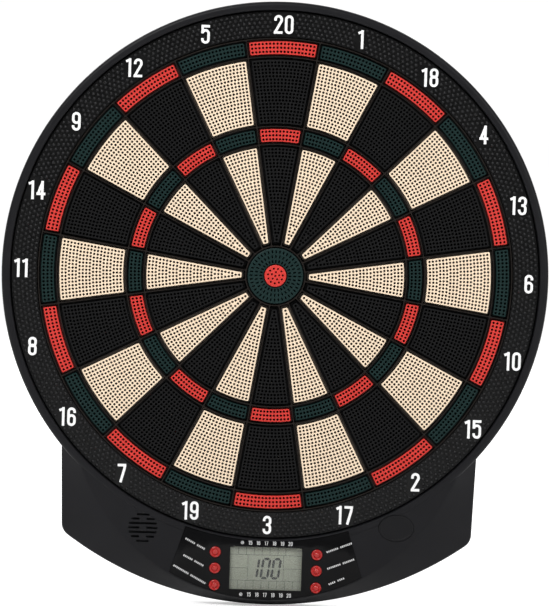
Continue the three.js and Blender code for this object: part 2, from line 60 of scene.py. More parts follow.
class Span:
    """A CAD node's box in millimetres, with depths instead of y."""

    def __init__(self, node):
        low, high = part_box(node)
        self.left, self.right = low.x / MM, high.x / MM
        self.bottom, self.top = low.z / MM, high.z / MM
        self.back, self.front = -high.y / MM, -low.y / MM
        self.x, self.z = (self.left + self.right) / 2, (self.bottom + self.top) / 2
        self.width, self.height = self.right - self.left, self.top - self.bottom


HOUSING = Span("front_housing")
COVER = Span("rear_cover")
RING = Span("number_ring")
WEB = Span("target_frame")
PLATE = Span("faceplate")
WINDOW = Span("display_window")
GLASS = Span("display_glass")
BADGE = Span("badge_blank")
SPEAKER = Span("speaker")
DOOR = Span("battery_door")

# ---------------------------------------------------------------- camera, light and stage

CAMERA = {"azimuth": -1.13, "elevation": 3.88, "roll": 1.926, "distance": 3.0, "lens": 233.5, "sensor": 36}
CAMERA_TARGET = Vector((0.45, -26.8, -22.8)) * MM
SKY = {"front": 0.2, "behind": 1.02, "start": -0.1, "end": 0.5}
LIGHTS = {
    "key": {"place": (-1.0, -2.0, 1.9), "size": (1.4, 1.0), "power": 58},
    "fill": {"place": (1.5, -1.8, 1.0), "size": (1.4, 1.4), "power": 22},
    "back": {"place": (-0.9, 2.0, 1.4), "size": (1.2, 1.2), "power": 30},
}
LIT_POINT = Vector((0, 0, -0.02))
FLOOR = {"half": 6.0, "near": 1.6, "far": 3.0, "gap": 0.0006, "glow": 0.4, "colour": (0.93, 0.93, 0.93)}
WHITE = (1, 1, 1, 1)


def add_camera():
    azimuth, elevation, roll = (math.radians(CAMERA[angle]) for angle in ("azimuth", "elevation", "roll"))
    level = math.cos(elevation)
    forward = Vector((-math.sin(azimuth) * level, math.cos(azimuth) * level, -math.sin(elevation)))
    right = forward.cross(Vector((0, 0, 1))).normalized()
    up = right.cross(forward)
    rolled_right = math.cos(roll) * right + math.sin(roll) * up
    rolled_up = math.cos(roll) * up - math.sin(roll) * right
    data = bpy.data.cameras.new("camera")
    data.lens = CAMERA["lens"]
    data.sensor_width = CAMERA["sensor"]
    data.sensor_fit = "HORIZONTAL"
    data.clip_end = 50
    camera = bpy.data.objects.new("camera", data)
    place = Matrix((rolled_right, rolled_up, -forward)).transposed().to_4x4()
    place.translation = CAMERA_TARGET - forward * CAMERA["distance"]
    camera.matrix_world = place
    bpy.context.scene.collection.objects.link(camera)
    bpy.context.scene.camera = camera


def add_light(name, place, size, power):
    data = bpy.data.lights.new(name, "AREA")
    data.shape = "RECTANGLE"
    data.size, data.size_y = size
    data.energy = power
    light = bpy.data.objects.new(name, data)
    light.location = place
    light.rotation_euler = (LIT_POINT - Vector(place)).to_track_quat("-Z", "Y").to_euler()
    bpy.context.scene.collection.objects.link(light)


def add_sky():
    """A white world that is dim in front of the board and bright behind it."""
    world = bpy.data.worlds.new("studio")
    world.use_nodes = True
    tree = world.node_tree
    direction = node(tree, "ShaderNodeSeparateXYZ")
    tree.links.new(node(tree, "ShaderNodeTexCoord").outputs["Generated"], direction.inputs["Vector"])
    brightness = ranged(tree, direction.outputs["Y"], SKY["front"], SKY["behind"], SKY["start"], SKY["end"])
    tree.links.new(brightness, tree.nodes["Background"].inputs["Strength"])
    tree.nodes["Background"].inputs["Color"].default_value = WHITE
    bpy.context.scene.world = world


def add_floor():
    """A pale floor just under the board, which looks a little brighter than it lights the board."""
    half, near, far = FLOOR["half"], FLOOR["near"], FLOOR["far"]
    low = min(HOUSING.bottom, COVER.bottom) * MM - FLOOR["gap"]
    data = bpy.data.meshes.new("floor")
    corners = [(-half, -near, low), (half, -near, low), (half, far, low), (-half, far, low)]
    data.from_pydata(corners, [], [(0, 1, 2, 3)])
    floor = bpy.data.objects.new("floor", data)
    paint = surface("floor_paint", FLOOR["colour"], roughness=0.9, variation=0.01, grain=0)
    shader = paint.node_tree.nodes["Principled BSDF"]
    shader.inputs["Emission Color"].default_value = WHITE
    seen = node(paint.node_tree, "ShaderNodeLightPath").outputs["Is Camera Ray"]
    glow = ranged(paint.node_tree, seen, 0, FLOOR["glow"], 0, 1)
    paint.node_tree.links.new(glow, shader.inputs["Emission Strength"])
    floor.data.materials.append(paint)
    bpy.context.scene.collection.objects.link(floor)


def set_stage():
    bpy.context.scene.view_settings.view_transform = "Standard"
    add_sky()
    for name, light in LIGHTS.items():
        add_light(name, **light)
    add_floor()


# ---------------------------------------------------------------- materials


def node(tree, kind, **settings):
    """Adds a shader node and sets its properties."""
    made = tree.nodes.new(kind)
    for key, value in settings.items():
        setattr(made, key, value)
    return made


def noise_factor(tree, coordinate, scale, detail=3, roughness=0.6):
    made = node(tree, "ShaderNodeTexNoise")
    made.inputs["Scale"].default_value = scale
    made.inputs["Detail"].default_value = detail
    made.inputs["Roughness"].default_value = roughness
    tree.links.new(coordinate, made.inputs["Vector"])
    return made.outputs["Fac"]


def ranged(tree, value, low, high, start=0.3, end=0.7):
    made = node(tree, "ShaderNodeMapRange")
    made.inputs["From Min"].default_value = start
    made.inputs["From Max"].default_value = end
    made.inputs["To Min"].default_value = low
    made.inputs["To Max"].default_value = high
    tree.links.new(value, made.inputs["Value"])
    return made.outputs["Result"]


def blended(tree, factor, first, second):
    """A colour between two colours, each a triple or an output socket."""
    made = node(tree, "ShaderNodeMix", data_type="RGBA")
    tree.links.new(factor, made.inputs["Factor"])
    for name, colour in (("A", first), ("B", second)):
        socket = [s for s in made.inputs if s.name == name and s.type == "RGBA"][0]
        if isinstance(colour, bpy.types.NodeSocket):
            tree.links.new(colour, socket)
        else:
            socket.default_value = (*colour, 1)
    return [s for s in made.outputs if s.type == "RGBA"][0]


SEGMENT_FACE = Span("sector_20").front
# How much of the painted shade in hollows replaces the surface's own colour at full depth.
HOLLOW_SHADE_SHARE = 0.92
SMUDGE = 0.06
SMUDGE_SCALE = 2.3
WORN = (0.985, 0.93)
WORN_PALER = 2.2
EDGE_REACH = 0.0005


def edge_mask(tree):
    """One on flat faces, and less near an edge."""
    soft = node(tree, "ShaderNodeBevel", samples=4)
    soft.inputs["Radius"].default_value = EDGE_REACH
    likeness = node(tree, "ShaderNodeVectorMath", operation="DOT_PRODUCT")
    tree.links.new(soft.outputs["Normal"], likeness.inputs[0])
    tree.links.new(node(tree, "ShaderNodeNewGeometry").outputs["Normal"], likeness.inputs[1])
    return likeness.outputs["Value"]


def scaled(colour, factor):
    return tuple(min(1.0, c * factor) for c in colour)


def surface(
    name, colour, roughness=0.45, variation=0.05, patch_scale=55, grain=0.00003, grain_scale=2200, wear=0.0,
    metallic=0.0, specular=0.5, coat=0.0, hollow_shade=None,
):
    """A moulded surface: patchy colour and gloss, fine grain, paler worn edges and painted shade in its
    hollows.

    Grain is the height of its bumps in metres. The hollow shade argument is the colour of the shade painted
    below a depth, standing in for shadow in grooves and holes, and the depths where it starts and is at its
    full.
    """
    made = bpy.data.materials.new(name)
    made.use_nodes = True
    tree = made.node_tree
    shader = tree.nodes["Principled BSDF"]
    shader.inputs["Metallic"].default_value = metallic
    shader.inputs["Specular IOR Level"].default_value = specular
    shader.inputs["Coat Weight"].default_value = coat
    coordinate = node(tree, "ShaderNodeTexCoord").outputs["Object"]
    patches = noise_factor(tree, coordinate, patch_scale)
    darker, paler = scaled(colour, 1 - variation), scaled(colour, 1 + variation)
    base = blended(tree, ranged(tree, patches, 0, 1), darker, paler)
    if wear:
        edges = edge_mask(tree)
        base = blended(tree, ranged(tree, edges, 0, wear, *WORN), base, scaled(colour, WORN_PALER))
    # Painted shade: the colour darkens with depth below the face, standing in for the shadow in grooves and
    # holes.
    if hollow_shade:
        shade, shallow, deep = hollow_shade
        split = node(tree, "ShaderNodeSeparateXYZ")
        tree.links.new(coordinate, split.inputs["Vector"])
        share = ranged(tree, split.outputs["Y"], 0, HOLLOW_SHADE_SHARE, -shallow * MM, -deep * MM)
        base = blended(tree, share, base, shade)
    tree.links.new(base, shader.inputs["Base Color"])
    smudges = noise_factor(tree, coordinate, patch_scale * SMUDGE_SCALE, detail=5)
    gloss = ranged(tree, smudges, roughness - SMUDGE, roughness + SMUDGE)
    tree.links.new(gloss, shader.inputs["Roughness"])
    if grain:
        bump = node(tree, "ShaderNodeBump")
        bump.inputs["Distance"].default_value = grain
        tree.links.new(noise_factor(tree, coordinate, grain_scale, detail=2), bump.inputs["Height"])
        tree.links.new(bump.outputs["Normal"], shader.inputs["Normal"])
    return made


def overpainted(made, factor, colour):
    """Blends a second colour over a surface's own colour."""
    tree = made.node_tree
    socket = tree.nodes["Principled BSDF"].inputs["Base Color"]
    tree.links.new(blended(tree, factor, socket.links[0].from_socket, colour), socket)


def hardboard():
    """Pressed wood fibre: short crossing fibres over a mottled brown."""
    made = surface("hardboard", (0.16, 0.088, 0.045), 0.8, 0.18, 140, 0.00012, 900)
    tree = made.node_tree
    coordinate = tree.nodes["Texture Coordinate"].outputs["Object"]
    stretch = node(tree, "ShaderNodeMapping")
    stretch.inputs["Scale"].default_value = (1, 1, 9)
    tree.links.new(coordinate, stretch.inputs["Vector"])
    fibres = noise_factor(tree, stretch.outputs["Vector"], 160, detail=6, roughness=0.75)
    overpainted(made, ranged(tree, fibres, 0, 0.7), (0.3, 0.19, 0.1))
    return made


def striped(name, colour, line_colour, pitch, start):
    """A surface with printed lines across X at a pitch in millimetres, where a wave rises above start."""
    made = surface(name, colour, 0.35)
    tree = made.node_tree
    waves = node(tree, "ShaderNodeTexWave", bands_direction="X")
    waves.inputs["Scale"].default_value = math.pi / (pitch * MM) / 10
    waves.inputs["Distortion"].default_value = 0.4
    tree.links.new(tree.nodes["Texture Coordinate"].outputs["Object"], waves.inputs["Vector"])
    overpainted(made, ranged(tree, waves.outputs["Fac"], 0, 1, start, start + 0.06), line_colour)
    return made


def clear_plastic():
    made = surface("clear_acrylic", (0.92, 0.94, 0.92), 0.07, 0.01, grain=0)
    made.node_tree.nodes["Principled BSDF"].inputs["Alpha"].default_value = 0.04
    return made


def display_face():
    """Grey-green display glass, darker towards its lower edge."""
    made = surface("display_glass", (0.205, 0.222, 0.172), 0.3, 0.07, 45, 0, specular=0.2)
    tree = made.node_tree
    split = node(tree, "ShaderNodeSeparateXYZ")
    tree.links.new(tree.nodes["Texture Coordinate"].outputs["Generated"], split.inputs["Vector"])
    overpainted(made, ranged(tree, split.outputs["Z"], 0.6, 0, 0, 0.7), (0.15, 0.162, 0.125))
    return made


# Depths over which shade is painted into the segments' grooves and holes, below their face.
HOLLOW_SHADE_DEPTHS = (SEGMENT_FACE - 0.3, SEGMENT_FACE - 1.5)
# Depths over which shade is painted onto the ring's face between and round the bases of its domes.
DOME_GAP_SHADE_DEPTHS = (RING.front + 0.8, RING.front + 0.15)

DARK = {"variation": 0.08, "specular": 0.14}
DULL = {"patch_scale": 70, "grain_scale": 2800}
PAINT = {
    "housing": surface(
        "housing_black", (0.0088, 0.0088, 0.0102), 0.42,
        patch_scale=40, grain=0.00004, grain_scale=2600, wear=0.35, **DARK,
    ),
    # Painted shade darkens the ring's face between and round the bases of its domes.
    "ring": surface(
        "ring_black", (0.0085, 0.0085, 0.0092), 0.32, 0.08, 60, 0.00001, 2600,
        specular=0.26, hollow_shade=((0.0008, 0.0008, 0.0009), *DOME_GAP_SHADE_DEPTHS),
    ),
    "web": surface(
        "web_black", (0.011, 0.0085, 0.0072),
        patch_scale=60, grain=0.00002, grain_scale=2600, wear=0.3, **DARK,
    ),
    "black": surface("segment_black", (0.0042, 0.0042, 0.0045), 0.5, 0.1, wear=0.3, specular=0.14, **DULL),
    # The cream, red and green segments are painted darker below their face: painted shade in their grooves
    # and holes.
    "cream": surface(
        "segment_cream", (0.84, 0.67, 0.49), 0.5, 0.02, hollow_shade=((0.03, 0.02, 0.013), *HOLLOW_SHADE_DEPTHS), **DULL
    ),
    "red": surface(
        "segment_red", (0.58, 0.032, 0.024), 0.5,
        specular=0.3, hollow_shade=((0.04, 0.005, 0.004), *HOLLOW_SHADE_DEPTHS), **DULL,
    ),
    "green": surface(
        "segment_green", (0.0028, 0.0165, 0.0155), 0.5, 0.08, wear=0.2,
        specular=0.2, hollow_shade=((0.002, 0.005, 0.005), *HOLLOW_SHADE_DEPTHS), **DULL,
    ),
    "gloss": surface("plate_gloss", (0.003, 0.003, 0.0034), 0.2, 0.06, 40, 0.000004, 900, specular=0.14),
    "white": surface("numeral_white", (0.88, 0.88, 0.88), 0.45, 0.02, 90, 0.00001, 2600),
    "print": surface("printed_white", (0.6, 0.6, 0.6), 0.5, 0.08, 300, 0.00001, 2600),
    "clear": clear_plastic(),
    "display": display_face(),
    "display_ink": surface("display_ink", (0.012, 0.015, 0.014), 0.4, 0.08, 120, 0, specular=0.1),
    "display_line": surface("display_line", (0.06, 0.07, 0.055), 0.4, 0.1, 120, 0, specular=0.1),
    "button": surface("button_red", (0.4, 0.014, 0.012), 0.22, 0.07, 120, 0.00001, 2400, 0.25, coat=0.2),
    "badge": surface("badge_black", (0.0075, 0.0075, 0.0085), 0.5, patch_scale=60, grain_scale=2600, **DARK),
    "cover": surface("cover_black", (0.024, 0.024, 0.026), 0.5, 0.1, 50, 0.00006, 1500, 0.35, specular=0.14),
    "rubber": surface("rubber_grey", (0.03, 0.03, 0.031), 0.75, 0.12, 80, 0.00005, 1300),
    "membrane": striped("membrane_film", (0.33, 0.37, 0.4), (0.07, 0.075, 0.08), pitch=6, start=0.8),
    "hardboard": hardboard(),
    "circuit": striped("circuit_board", (0.012, 0.1, 0.035), (0.02, 0.2, 0.07), pitch=2.54, start=0.6),
    "cell": striped("cell_sleeve", (0.03, 0.07, 0.2), (0.55, 0.56, 0.58), pitch=100, start=0.62),
    "steel": surface("zinc_steel", (0.62, 0.62, 0.6), 0.32, 0.08, 150, 0.00002, 1800, metallic=1.0),
    "cone": surface("speaker_paper", (0.03, 0.03, 0.032), 0.85, 0.15, 120, 0.00008, 1500),
}

# ---------------------------------------------------------------- loops in the plane of the board


def polar(radius, angle):
    """A point clockwise from the top, with the angle in radians."""
    return radius * math.sin(angle), radius * math.cos(angle)


def circle(radius, steps=ROUND_STEPS, centre=(0, 0), turn=0.0):
    angles = [turn + 2 * math.pi * i / steps for i in range(steps)]
    return [(centre[0] + radius * math.cos(a), centre[1] + radius * math.sin(a)) for a in angles]


def ellipse(centre, half_width, half_height, steps=64):
    return [(centre[0] + half_width * x, centre[1] + half_height * z) for x, z in circle(1, steps)]


def rectangle(left, right, bottom, top):
    return [(left, bottom), (right, bottom), (right, top), (left, top)]


def inset(loop, distance):
    """The loop moved inwards by a small distance."""
    moved = []
    count = len(loop)
    for i, (x, z) in enumerate(loop):
        before, after = loop[i - 1], loop[(i + 1) % count]
        first = Vector((x - before[0], z - before[1])).normalized()
        second = Vector((after[0] - x, after[1] - z)).normalized()
        along = (first + second).normalized()
        reach = distance / max(0.3, along.dot(first))
        moved.append((x - along.y * reach, z + along.x * reach))
    return moved


def rounded(loop, radius, steps=4, least_turn=0.5):
    """The loop with an arc at each corner that turns more than least_turn radians."""
    points = []
    count = len(loop)
    for i, corner in enumerate(loop):
        here = Vector(corner)
        back, ahead = Vector(loop[i - 1]) - here, Vector(loop[(i + 1) % count]) - here
        turn = math.pi - back.angle(ahead)
        if turn < least_turn:
            points.append(corner)
            continue
        reach = min(radius * math.tan(turn / 2), 0.48 * back.length, 0.48 * ahead.length)
        start, end = here + back.normalized() * reach, here + ahead.normalized() * reach
        for step in range(steps + 1):
            t = step / steps
            points.append(tuple((1 - t) ** 2 * start + 2 * t * (1 - t) * here + t * t * end))
    return points


def sector_loop(inner, outer, gap, corner, steps=8, corner_steps=4):
    """A sector between two radii with round corners; its sides keep a gap to the sector's edges."""
    low_turn = HALF_SECTOR - math.asin((gap + corner) / (inner + corner))
    high_turn = HALF_SECTOR - math.asin((gap + corner) / (outer - corner))
    side = HALF_SECTOR + math.pi / 2

    def fillet(centre, start, end):
        turns = [start + (end - start) * i / corner_steps for i in range(corner_steps + 1)]
        return [(centre[0] + corner * math.sin(t), centre[1] + corner * math.cos(t)) for t in turns]

    right = [polar(inner, low_turn * i / steps) for i in range(steps)]
    right += fillet(polar(inner + corner, low_turn), low_turn + math.pi, side)
    right += fillet(polar(outer - corner, high_turn), side, high_turn)
    right += [polar(outer, high_turn * (1 - i / steps)) for i in range(1, steps + 1)]
    return right + [(-x, z) for x, z in right[-2:0:-1]]


def inside(loop, x, z):
    """Is the point inside the loop?"""
    found = False
    for i, (x1, z1) in enumerate(loop):
        x0, z0 = loop[i - 1]
        if (z0 > z) != (z1 > z) and x < (x1 - x0) * (z - z0) / (z1 - z0) + x0:
            found = not found
    return found


def turned(loop, angle):
    """The loop turned clockwise about the bull by an angle in radians."""
    turn = Matrix.Rotation(-angle, 2)
    return [tuple(turn @ Vector(point)) for point in loop]


# ---------------------------------------------------------------- meshes


class Shell:
    """A mesh in the making: vertices as (x, depth, z) in millimetres, and faces that turn outwards."""

    def __init__(self):
        self.vertices = []
        self.faces = []

    def ring(self, loop, depth):
        """Adds a loop at one depth and returns its vertices' numbers."""
        start = len(self.vertices)
        self.vertices += [(x, depth, z) for x, z in loop]
        return list(range(start, start + len(loop)))

    def round_rings(self, profile, steps=ROUND_STEPS):
        """Adds a circle round the bull's axis for each (radius, depth)."""
        return [self.ring(circle(radius, steps), depth) for radius, depth in profile]

    def point(self, x, depth, z):
        self.vertices.append((x, depth, z))
        return len(self.vertices) - 1

    def band(self, back, front):
        """Joins a ring to the one in front of it."""
        count = len(back)
        for i in range(count):
            j = (i + 1) % count
            self.faces.append((back[i], back[j], front[j], front[i]))

    def wall(self, rings):
        """Joins each ring to the next: from back to front outside, and from front to back in a hole."""
        for first, second in zip(rings, rings[1:]):
            self.band(first, second)

    def fan(self, ring, tip):
        count = len(ring)
        self.faces += [(ring[i], ring[(i + 1) % count], tip) for i in range(count)]

    def fill(self, rings, faces_front=True):
        """Fills a flat region: the first ring is its outline and the others are holes in it."""
        numbers = [n for ring in rings for n in ring]
        flat = [Vector((self.vertices[n][0], self.vertices[n][2])) for n in numbers]
        edges, owner, start = [], [], 0
        for index, ring in enumerate(rings):
            edges += [(start + i, start + (i + 1) % len(ring)) for i in range(len(ring))]
            owner += [index] * len(ring)
            start += len(ring)
        points, _, triangles, sources, _, _ = delaunay_2d_cdt(flat, edges, [], 1, 1e-7)
        missing = [tuple(p) for p, s in zip(points, sources) if not s]
        if missing:
            raise ValueError(f"loops cross at {missing[:4]} ({len(missing)} places)")
        source = [s[0] for s in sources]
        loops = {}
        for triangle in triangles:
            corners = [source[i] for i in triangle]
            holes = {owner[c] for c in corners}
            if len(holes) == 1 and 0 not in holes:
                hole = holes.pop()
                if hole not in loops:
                    loops[hole] = [(self.vertices[n][0], self.vertices[n][2]) for n in rings[hole]]
                middle = sum((points[i] for i in triangle), Vector((0, 0))) / 3
                if inside(loops[hole], middle.x, middle.y):
                    continue
            face = tuple(numbers[c] for c in corners)
            self.faces.append(face if faces_front else face[::-1])

    def close(self, rings, back_holes=(), front_holes=()):
        """Joins rings from back to front and fills both ends, round any holes."""
        self.wall(rings)
        self.fill([rings[-1], *front_holes])
        self.fill([rings[0], *back_holes], faces_front=False)

    def made(self, name, paint, smooth_angle=32):
        data = bpy.data.meshes.new(name)
        data.from_pydata([(x * MM, -depth * MM, z * MM) for x, depth, z in self.vertices], [], self.faces)
        data.update()
        data.shade_smooth()
        data.set_sharp_from_angle(angle=math.radians(smooth_angle))
        data.materials.append(PAINT[paint])
        return data


def placed(data, name, body, replaced=(), turn=0.0):
    """Puts a mesh into the scene as a piece that rides on a body."""
    piece = bpy.data.objects.new(name, data)
    piece.rotation_euler.y = turn
    bpy.context.scene.collection.objects.link(piece)
    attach(piece, body)
    if replaced:
        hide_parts(*replaced)


def add_piece(shell, name, paint, body, replaced=(), smooth_angle=32):
    """A piece with a mesh of its own."""
    placed(shell.made(name, paint, smooth_angle), name, body, replaced)


def plate(outline, profile, holes=(), edge=0.0):
    """A closed slab: profile is (inset, depth) from back to front, and holes go right through it."""
    shell = Shell()
    rings = [shell.ring(inset(outline, move) if move else outline, depth) for move, depth in profile]
    back_depth, front_depth = profile[0][1], profile[-1][1]
    back_holes, front_holes = [], []
    for hole in holes:
        steps = [(0, back_depth), (0, front_depth)]
        if edge:
            steps = [(0, back_depth), (0, front_depth - edge), (-edge, front_depth)]
        levels = [shell.ring(inset(hole, move) if move else hole, depth) for move, depth in steps]
        shell.wall(levels[::-1])
        back_holes.append(levels[0])
        front_holes.append(levels[-1])
    shell.close(rings, back_holes, front_holes)
    return shell


def lathe(profile, centre=(0, 0), steps=64):
    """A round solid on an axis along Y: profile is (radius, depth) from back to front."""
    shell = Shell()
    rings = []
    for radius, depth in profile:
        if radius == 0:
            rings.append(shell.point(centre[0], depth, centre[1]))
        else:
            rings.append(shell.ring(circle(radius, steps, centre), depth))
    for back, front in zip(rings, rings[1:]):
        if isinstance(back, int):
            count = len(front)
            shell.faces += [(front[(i + 1) % count], front[i], back) for i in range(count)]
        elif isinstance(front, int):
            shell.fan(back, front)
        else:
            shell.band(back, front)
    if not isinstance(rings[0], int) and not isinstance(rings[-1], int):
        shell.band(rings[-1], rings[0])
    return shell


def slab(outline, back, front):
    """A closed slab with upright sides."""
    return plate(outline, [(0, back), (0, front)])


def block(left, right, back, front, bottom, top):
    return slab(rectangle(left, right, bottom, top), back, front)


def around(span, margin):
    """A span's rectangle with a margin all round."""
    return rectangle(span.left - margin, span.right + margin, span.bottom - margin, span.top + margin)


# ---------------------------------------------------------------- booleans


def joined(shell, others, operation):
    """The shell joined with, or cut by, each of the others."""
    working = bpy.data.objects.new("working", shell.made("working", "housing"))
    bpy.context.scene.collection.objects.link(working)
    for other in others:
        tool = bpy.data.objects.new("tool", other.made("tool", "housing"))
        bpy.context.scene.collection.objects.link(tool)
        change = working.modifiers.new("change", "BOOLEAN")
        change.operation = operation
        change.solver = "MANIFOLD"
        change.object = tool
        bpy.context.view_layer.update()
        changed = working.evaluated_get(bpy.context.evaluated_depsgraph_get())
        result = bpy.data.meshes.new_from_object(changed)
        working.modifiers.remove(change)
        working.data = result
        bpy.data.objects.remove(tool)
    out = Shell()
    out.vertices = [(v.co.x / MM, -v.co.y / MM, v.co.z / MM) for v in working.data.vertices]
    out.faces = [tuple(p.vertices) for p in working.data.polygons]
    bpy.data.objects.remove(working)
    return out


def union(shell, *others):
    return joined(shell, others, "UNION")


def cut(shell, *others):
    return joined(shell, others, "DIFFERENCE")


# ---------------------------------------------------------------- strokes and numerals


def stroke(points, width, closed=False):
    """A line of a width as quadrilaterals that share their mitred ends."""
    sides = []
    count = len(points)
    for i, point in enumerate(points):
        here = Vector(point)
        before = Vector(points[i - 1]) if i or closed else None
        after = Vector(points[(i + 1) % count]) if i < count - 1 or closed else None
        first = (here - before).normalized() if before is not None else (after - here).normalized()
        second = (after - here).normalized() if after is not None else first
        along = (first + second).normalized()
        reach = width / 2 / max(0.5, along.dot(first))
        across = Vector((-along.y, along.x)) * reach
        sides.append((here + across, here - across))
    last = count if closed else count - 1
    return [
        [sides[i][1], sides[(i + 1) % count][1], sides[(i + 1) % count][0], sides[i][0]]
        for i in range(last)
    ]


def inked(shapes, back, front):
    """One flat closed plate over all of the given convex shapes, which may overlap."""
    points, faces = [], []
    for shape in shapes:
        faces.append(list(range(len(points), len(points) + len(shape))))
        points += [Vector(p) for p in shape]
    corners, _, triangles, _, _, covered = delaunay_2d_cdt(points, [], faces, 1, 1e-4)
    kept = [t for t, over in zip(triangles, covered) if over]
    shell = Shell()
    low = shell.ring([tuple(c) for c in corners], back)
    high = shell.ring([tuple(c) for c in corners], front)
    edges = {(t[i], t[(i + 1) % 3]) for t in kept for i in range(3)}
    for triangle in kept:
        shell.faces.append(tuple(high[i] for i in triangle))
        shell.faces.append(tuple(low[i] for i in reversed(triangle)))
    for a, b in edges:
        if (b, a) not in edges:
            shell.faces.append((low[a], low[b], high[b], high[a]))
    return shell


def arc(x, z, radius, start, end, steps=14):
    """Points along an arc, with angles in degrees anticlockwise from +X."""
    angles = [math.radians(start + (end - start) * i / steps) for i in range(steps + 1)]
    return [(x + radius * math.cos(a), z + radius * math.sin(a)) for a in angles]


def numeral_lines(digit, half_width, half_height, width):
    """The centrelines of a tall, narrow numeral, as (points, closed)."""
    a, b = half_width, half_height
    shoulder = b - a
    edge, end = a + width / 2, b + width / 2
    hook = 0.35 * a
    crown = arc(0, shoulder, a, 180, 0)
    bowl = arc(0, -shoulder, a, 0, -180)
    if digit == 0:
        return [(crown + bowl, True)]
    if digit == 1:
        stem = 0.35 * a
        flag = [(stem, b - 0.1 * a), (-0.95 * a, b - 0.62 * a)]
        return [([(stem, -end), (stem, end)], False), (flag, False)]
    if digit == 2:
        swan = [(-a, shoulder - 0.45 * a), *crown, (a, shoulder - 0.5 * a)]
        swan += [(-0.85 * a, -b + 0.35 * a), (-0.85 * a, -b)]
        return [(swan, False), ([(-edge, -b), (edge, -b)], False)]
    if digit == 3:
        waist = 0.04 * b
        top = [(-a, shoulder - hook), *crown, *arc(0, waist + a, a, 0, -80)]
        low = [*arc(0, waist - a, a, 80, 0), *bowl, (-a, -shoulder + hook)]
        return [(top, False), (low, False), ([(-0.35 * a, waist), (0.3 * a, waist)], False)]
    if digit == 4:
        stem, bar = 0.45 * a, -0.46 * b
        slope = [(stem, b - 0.2), (-0.95 * a, bar)]
        level = [(-edge - 0.1, bar), (edge + 0.1, bar)]
        return [([(stem, -end), (stem, end)], False), (slope, False), (level, False)]
    if digit == 5:
        top = 0.1 * b
        low = [*arc(0, top, a, 150, 0), *bowl, (-a, -shoulder + hook)]
        return [([(-edge, b), (edge, b)], False), ([(-a, b), (-a, top)], False), (low, False)]
    if digit == 6:
        loop = arc(0, -shoulder, a, 180, 360) + arc(0, -0.22 * b, a, 0, 180)
        top = [(a, shoulder - hook), *arc(0, shoulder, a, 0, 180), (-a, -shoulder)]
        return [(loop, True), (top, False)]
    if digit == 7:
        leg = [(a, b), (a * 0.9, b - a), (-0.35 * a, -end)]
        return [([(-edge, b), (edge, b)], False), (leg, False)]
    if digit == 8:
        middle = 0.08 * b
        top = crown + arc(0, middle + 0.86 * a, a * 0.96, 0, -180)
        low = bowl + arc(0, middle - 0.86 * a, a, 180, 0)
        return [(top, True), (low, True)]
    return [([(-x, -z) for x, z in points], closed) for points, closed in numeral_lines(6, a, b, width)]


NUMBER = {"half_width": 0.231, "gap": 0.115, "narrow_one": 0.68}


def number_shapes(number, centre, height, thickness):
    """The shapes of an upright number around its centre."""
    half_width = NUMBER["half_width"] * height - thickness / 2
    half_height = (height - thickness) / 2
    gap = NUMBER["gap"] * height
    digits = [int(c) for c in str(number)]
    widths = [(2 * half_width + thickness) * (NUMBER["narrow_one"] if d == 1 else 1) for d in digits]
    left = -(sum(widths) + gap * (len(digits) - 1)) / 2
    shapes = []
    for digit, width in zip(digits, widths):
        x = left + width / 2
        left += width + gap
        for points, closed in numeral_lines(digit, half_width, half_height, thickness):
            moved = [(centre[0] + x + px, centre[1] + pz) for px, pz in points]
            shapes += stroke(moved, thickness, closed)
    return shapes


# ---------------------------------------------------------------- target

ROWS = {
    "single_inner": {"inner": 26.0, "outer": 110.6, "wall": 2.3, "lines": 27, "pitch": 2.92, "last": 106.4},
    "triple": {
        "inner": 110.6, "outer": 125.6, "wall": 2.2, "lines": 3, "pitch": 3.25, "last": 121.35, "across": 11,
    },
    "single_outer": {"inner": 125.6, "outer": 183.7, "wall": 2.3, "lines": 18, "pitch": 2.88, "last": 179.1},
    "double": {
        "inner": 183.7, "outer": 199.0, "wall": 2.2, "lines": 3, "pitch": 3.3, "last": 194.7, "across": 18,
    },
}
WEB_HALF = 0.45
FLANGE = {"gap": 0.3, "back": Span("sector_20").back, "front": 18.5}
GROOVE_FLOOR = 21.5
HOLE = {"radius": 1.06, "steps": 8, "floor": 19.0, "edge": 0.1, "along": 2.95, "margin": 4.5, "end": 2.0}
SEGMENT_EDGE = 0.55
SEGMENT_CORNER = 1.0


def drilled_centres(row):
    """Centres of a segment's holes in arcs, the end ones in line with the segment's sides."""
    centres = []
    for line in range(row["lines"]):
        radius = row["last"] - line * row["pitch"]
        margin = HOLE["margin"] if "across" not in row else row["wall"] + HOLE["end"]
        reach = radius * math.sin(HALF_SECTOR) - margin
        count = row.get("across") or max(1, round(2 * reach / HOLE["along"]) + 1)
        half = math.asin(max(0.0, reach) / radius)
        for i in range(count):
            centres.append(polar(radius, half * (2 * i / (count - 1) - 1) if count > 1 else 0))
    return centres


def drilled(shell, loops, face, floor):
    """Blind holes with a softened rim; returns their rings on the face."""
    edge = HOLE["edge"]
    rims = []
    for loop in loops:
        rings = [
            shell.ring(inset(loop, -edge), face),
            shell.ring(loop, face - edge),
            shell.ring(loop, floor),
        ]
        shell.wall(rings)
        shell.faces.append(tuple(rings[2]))
        rims.append(rings[0])
    return rims


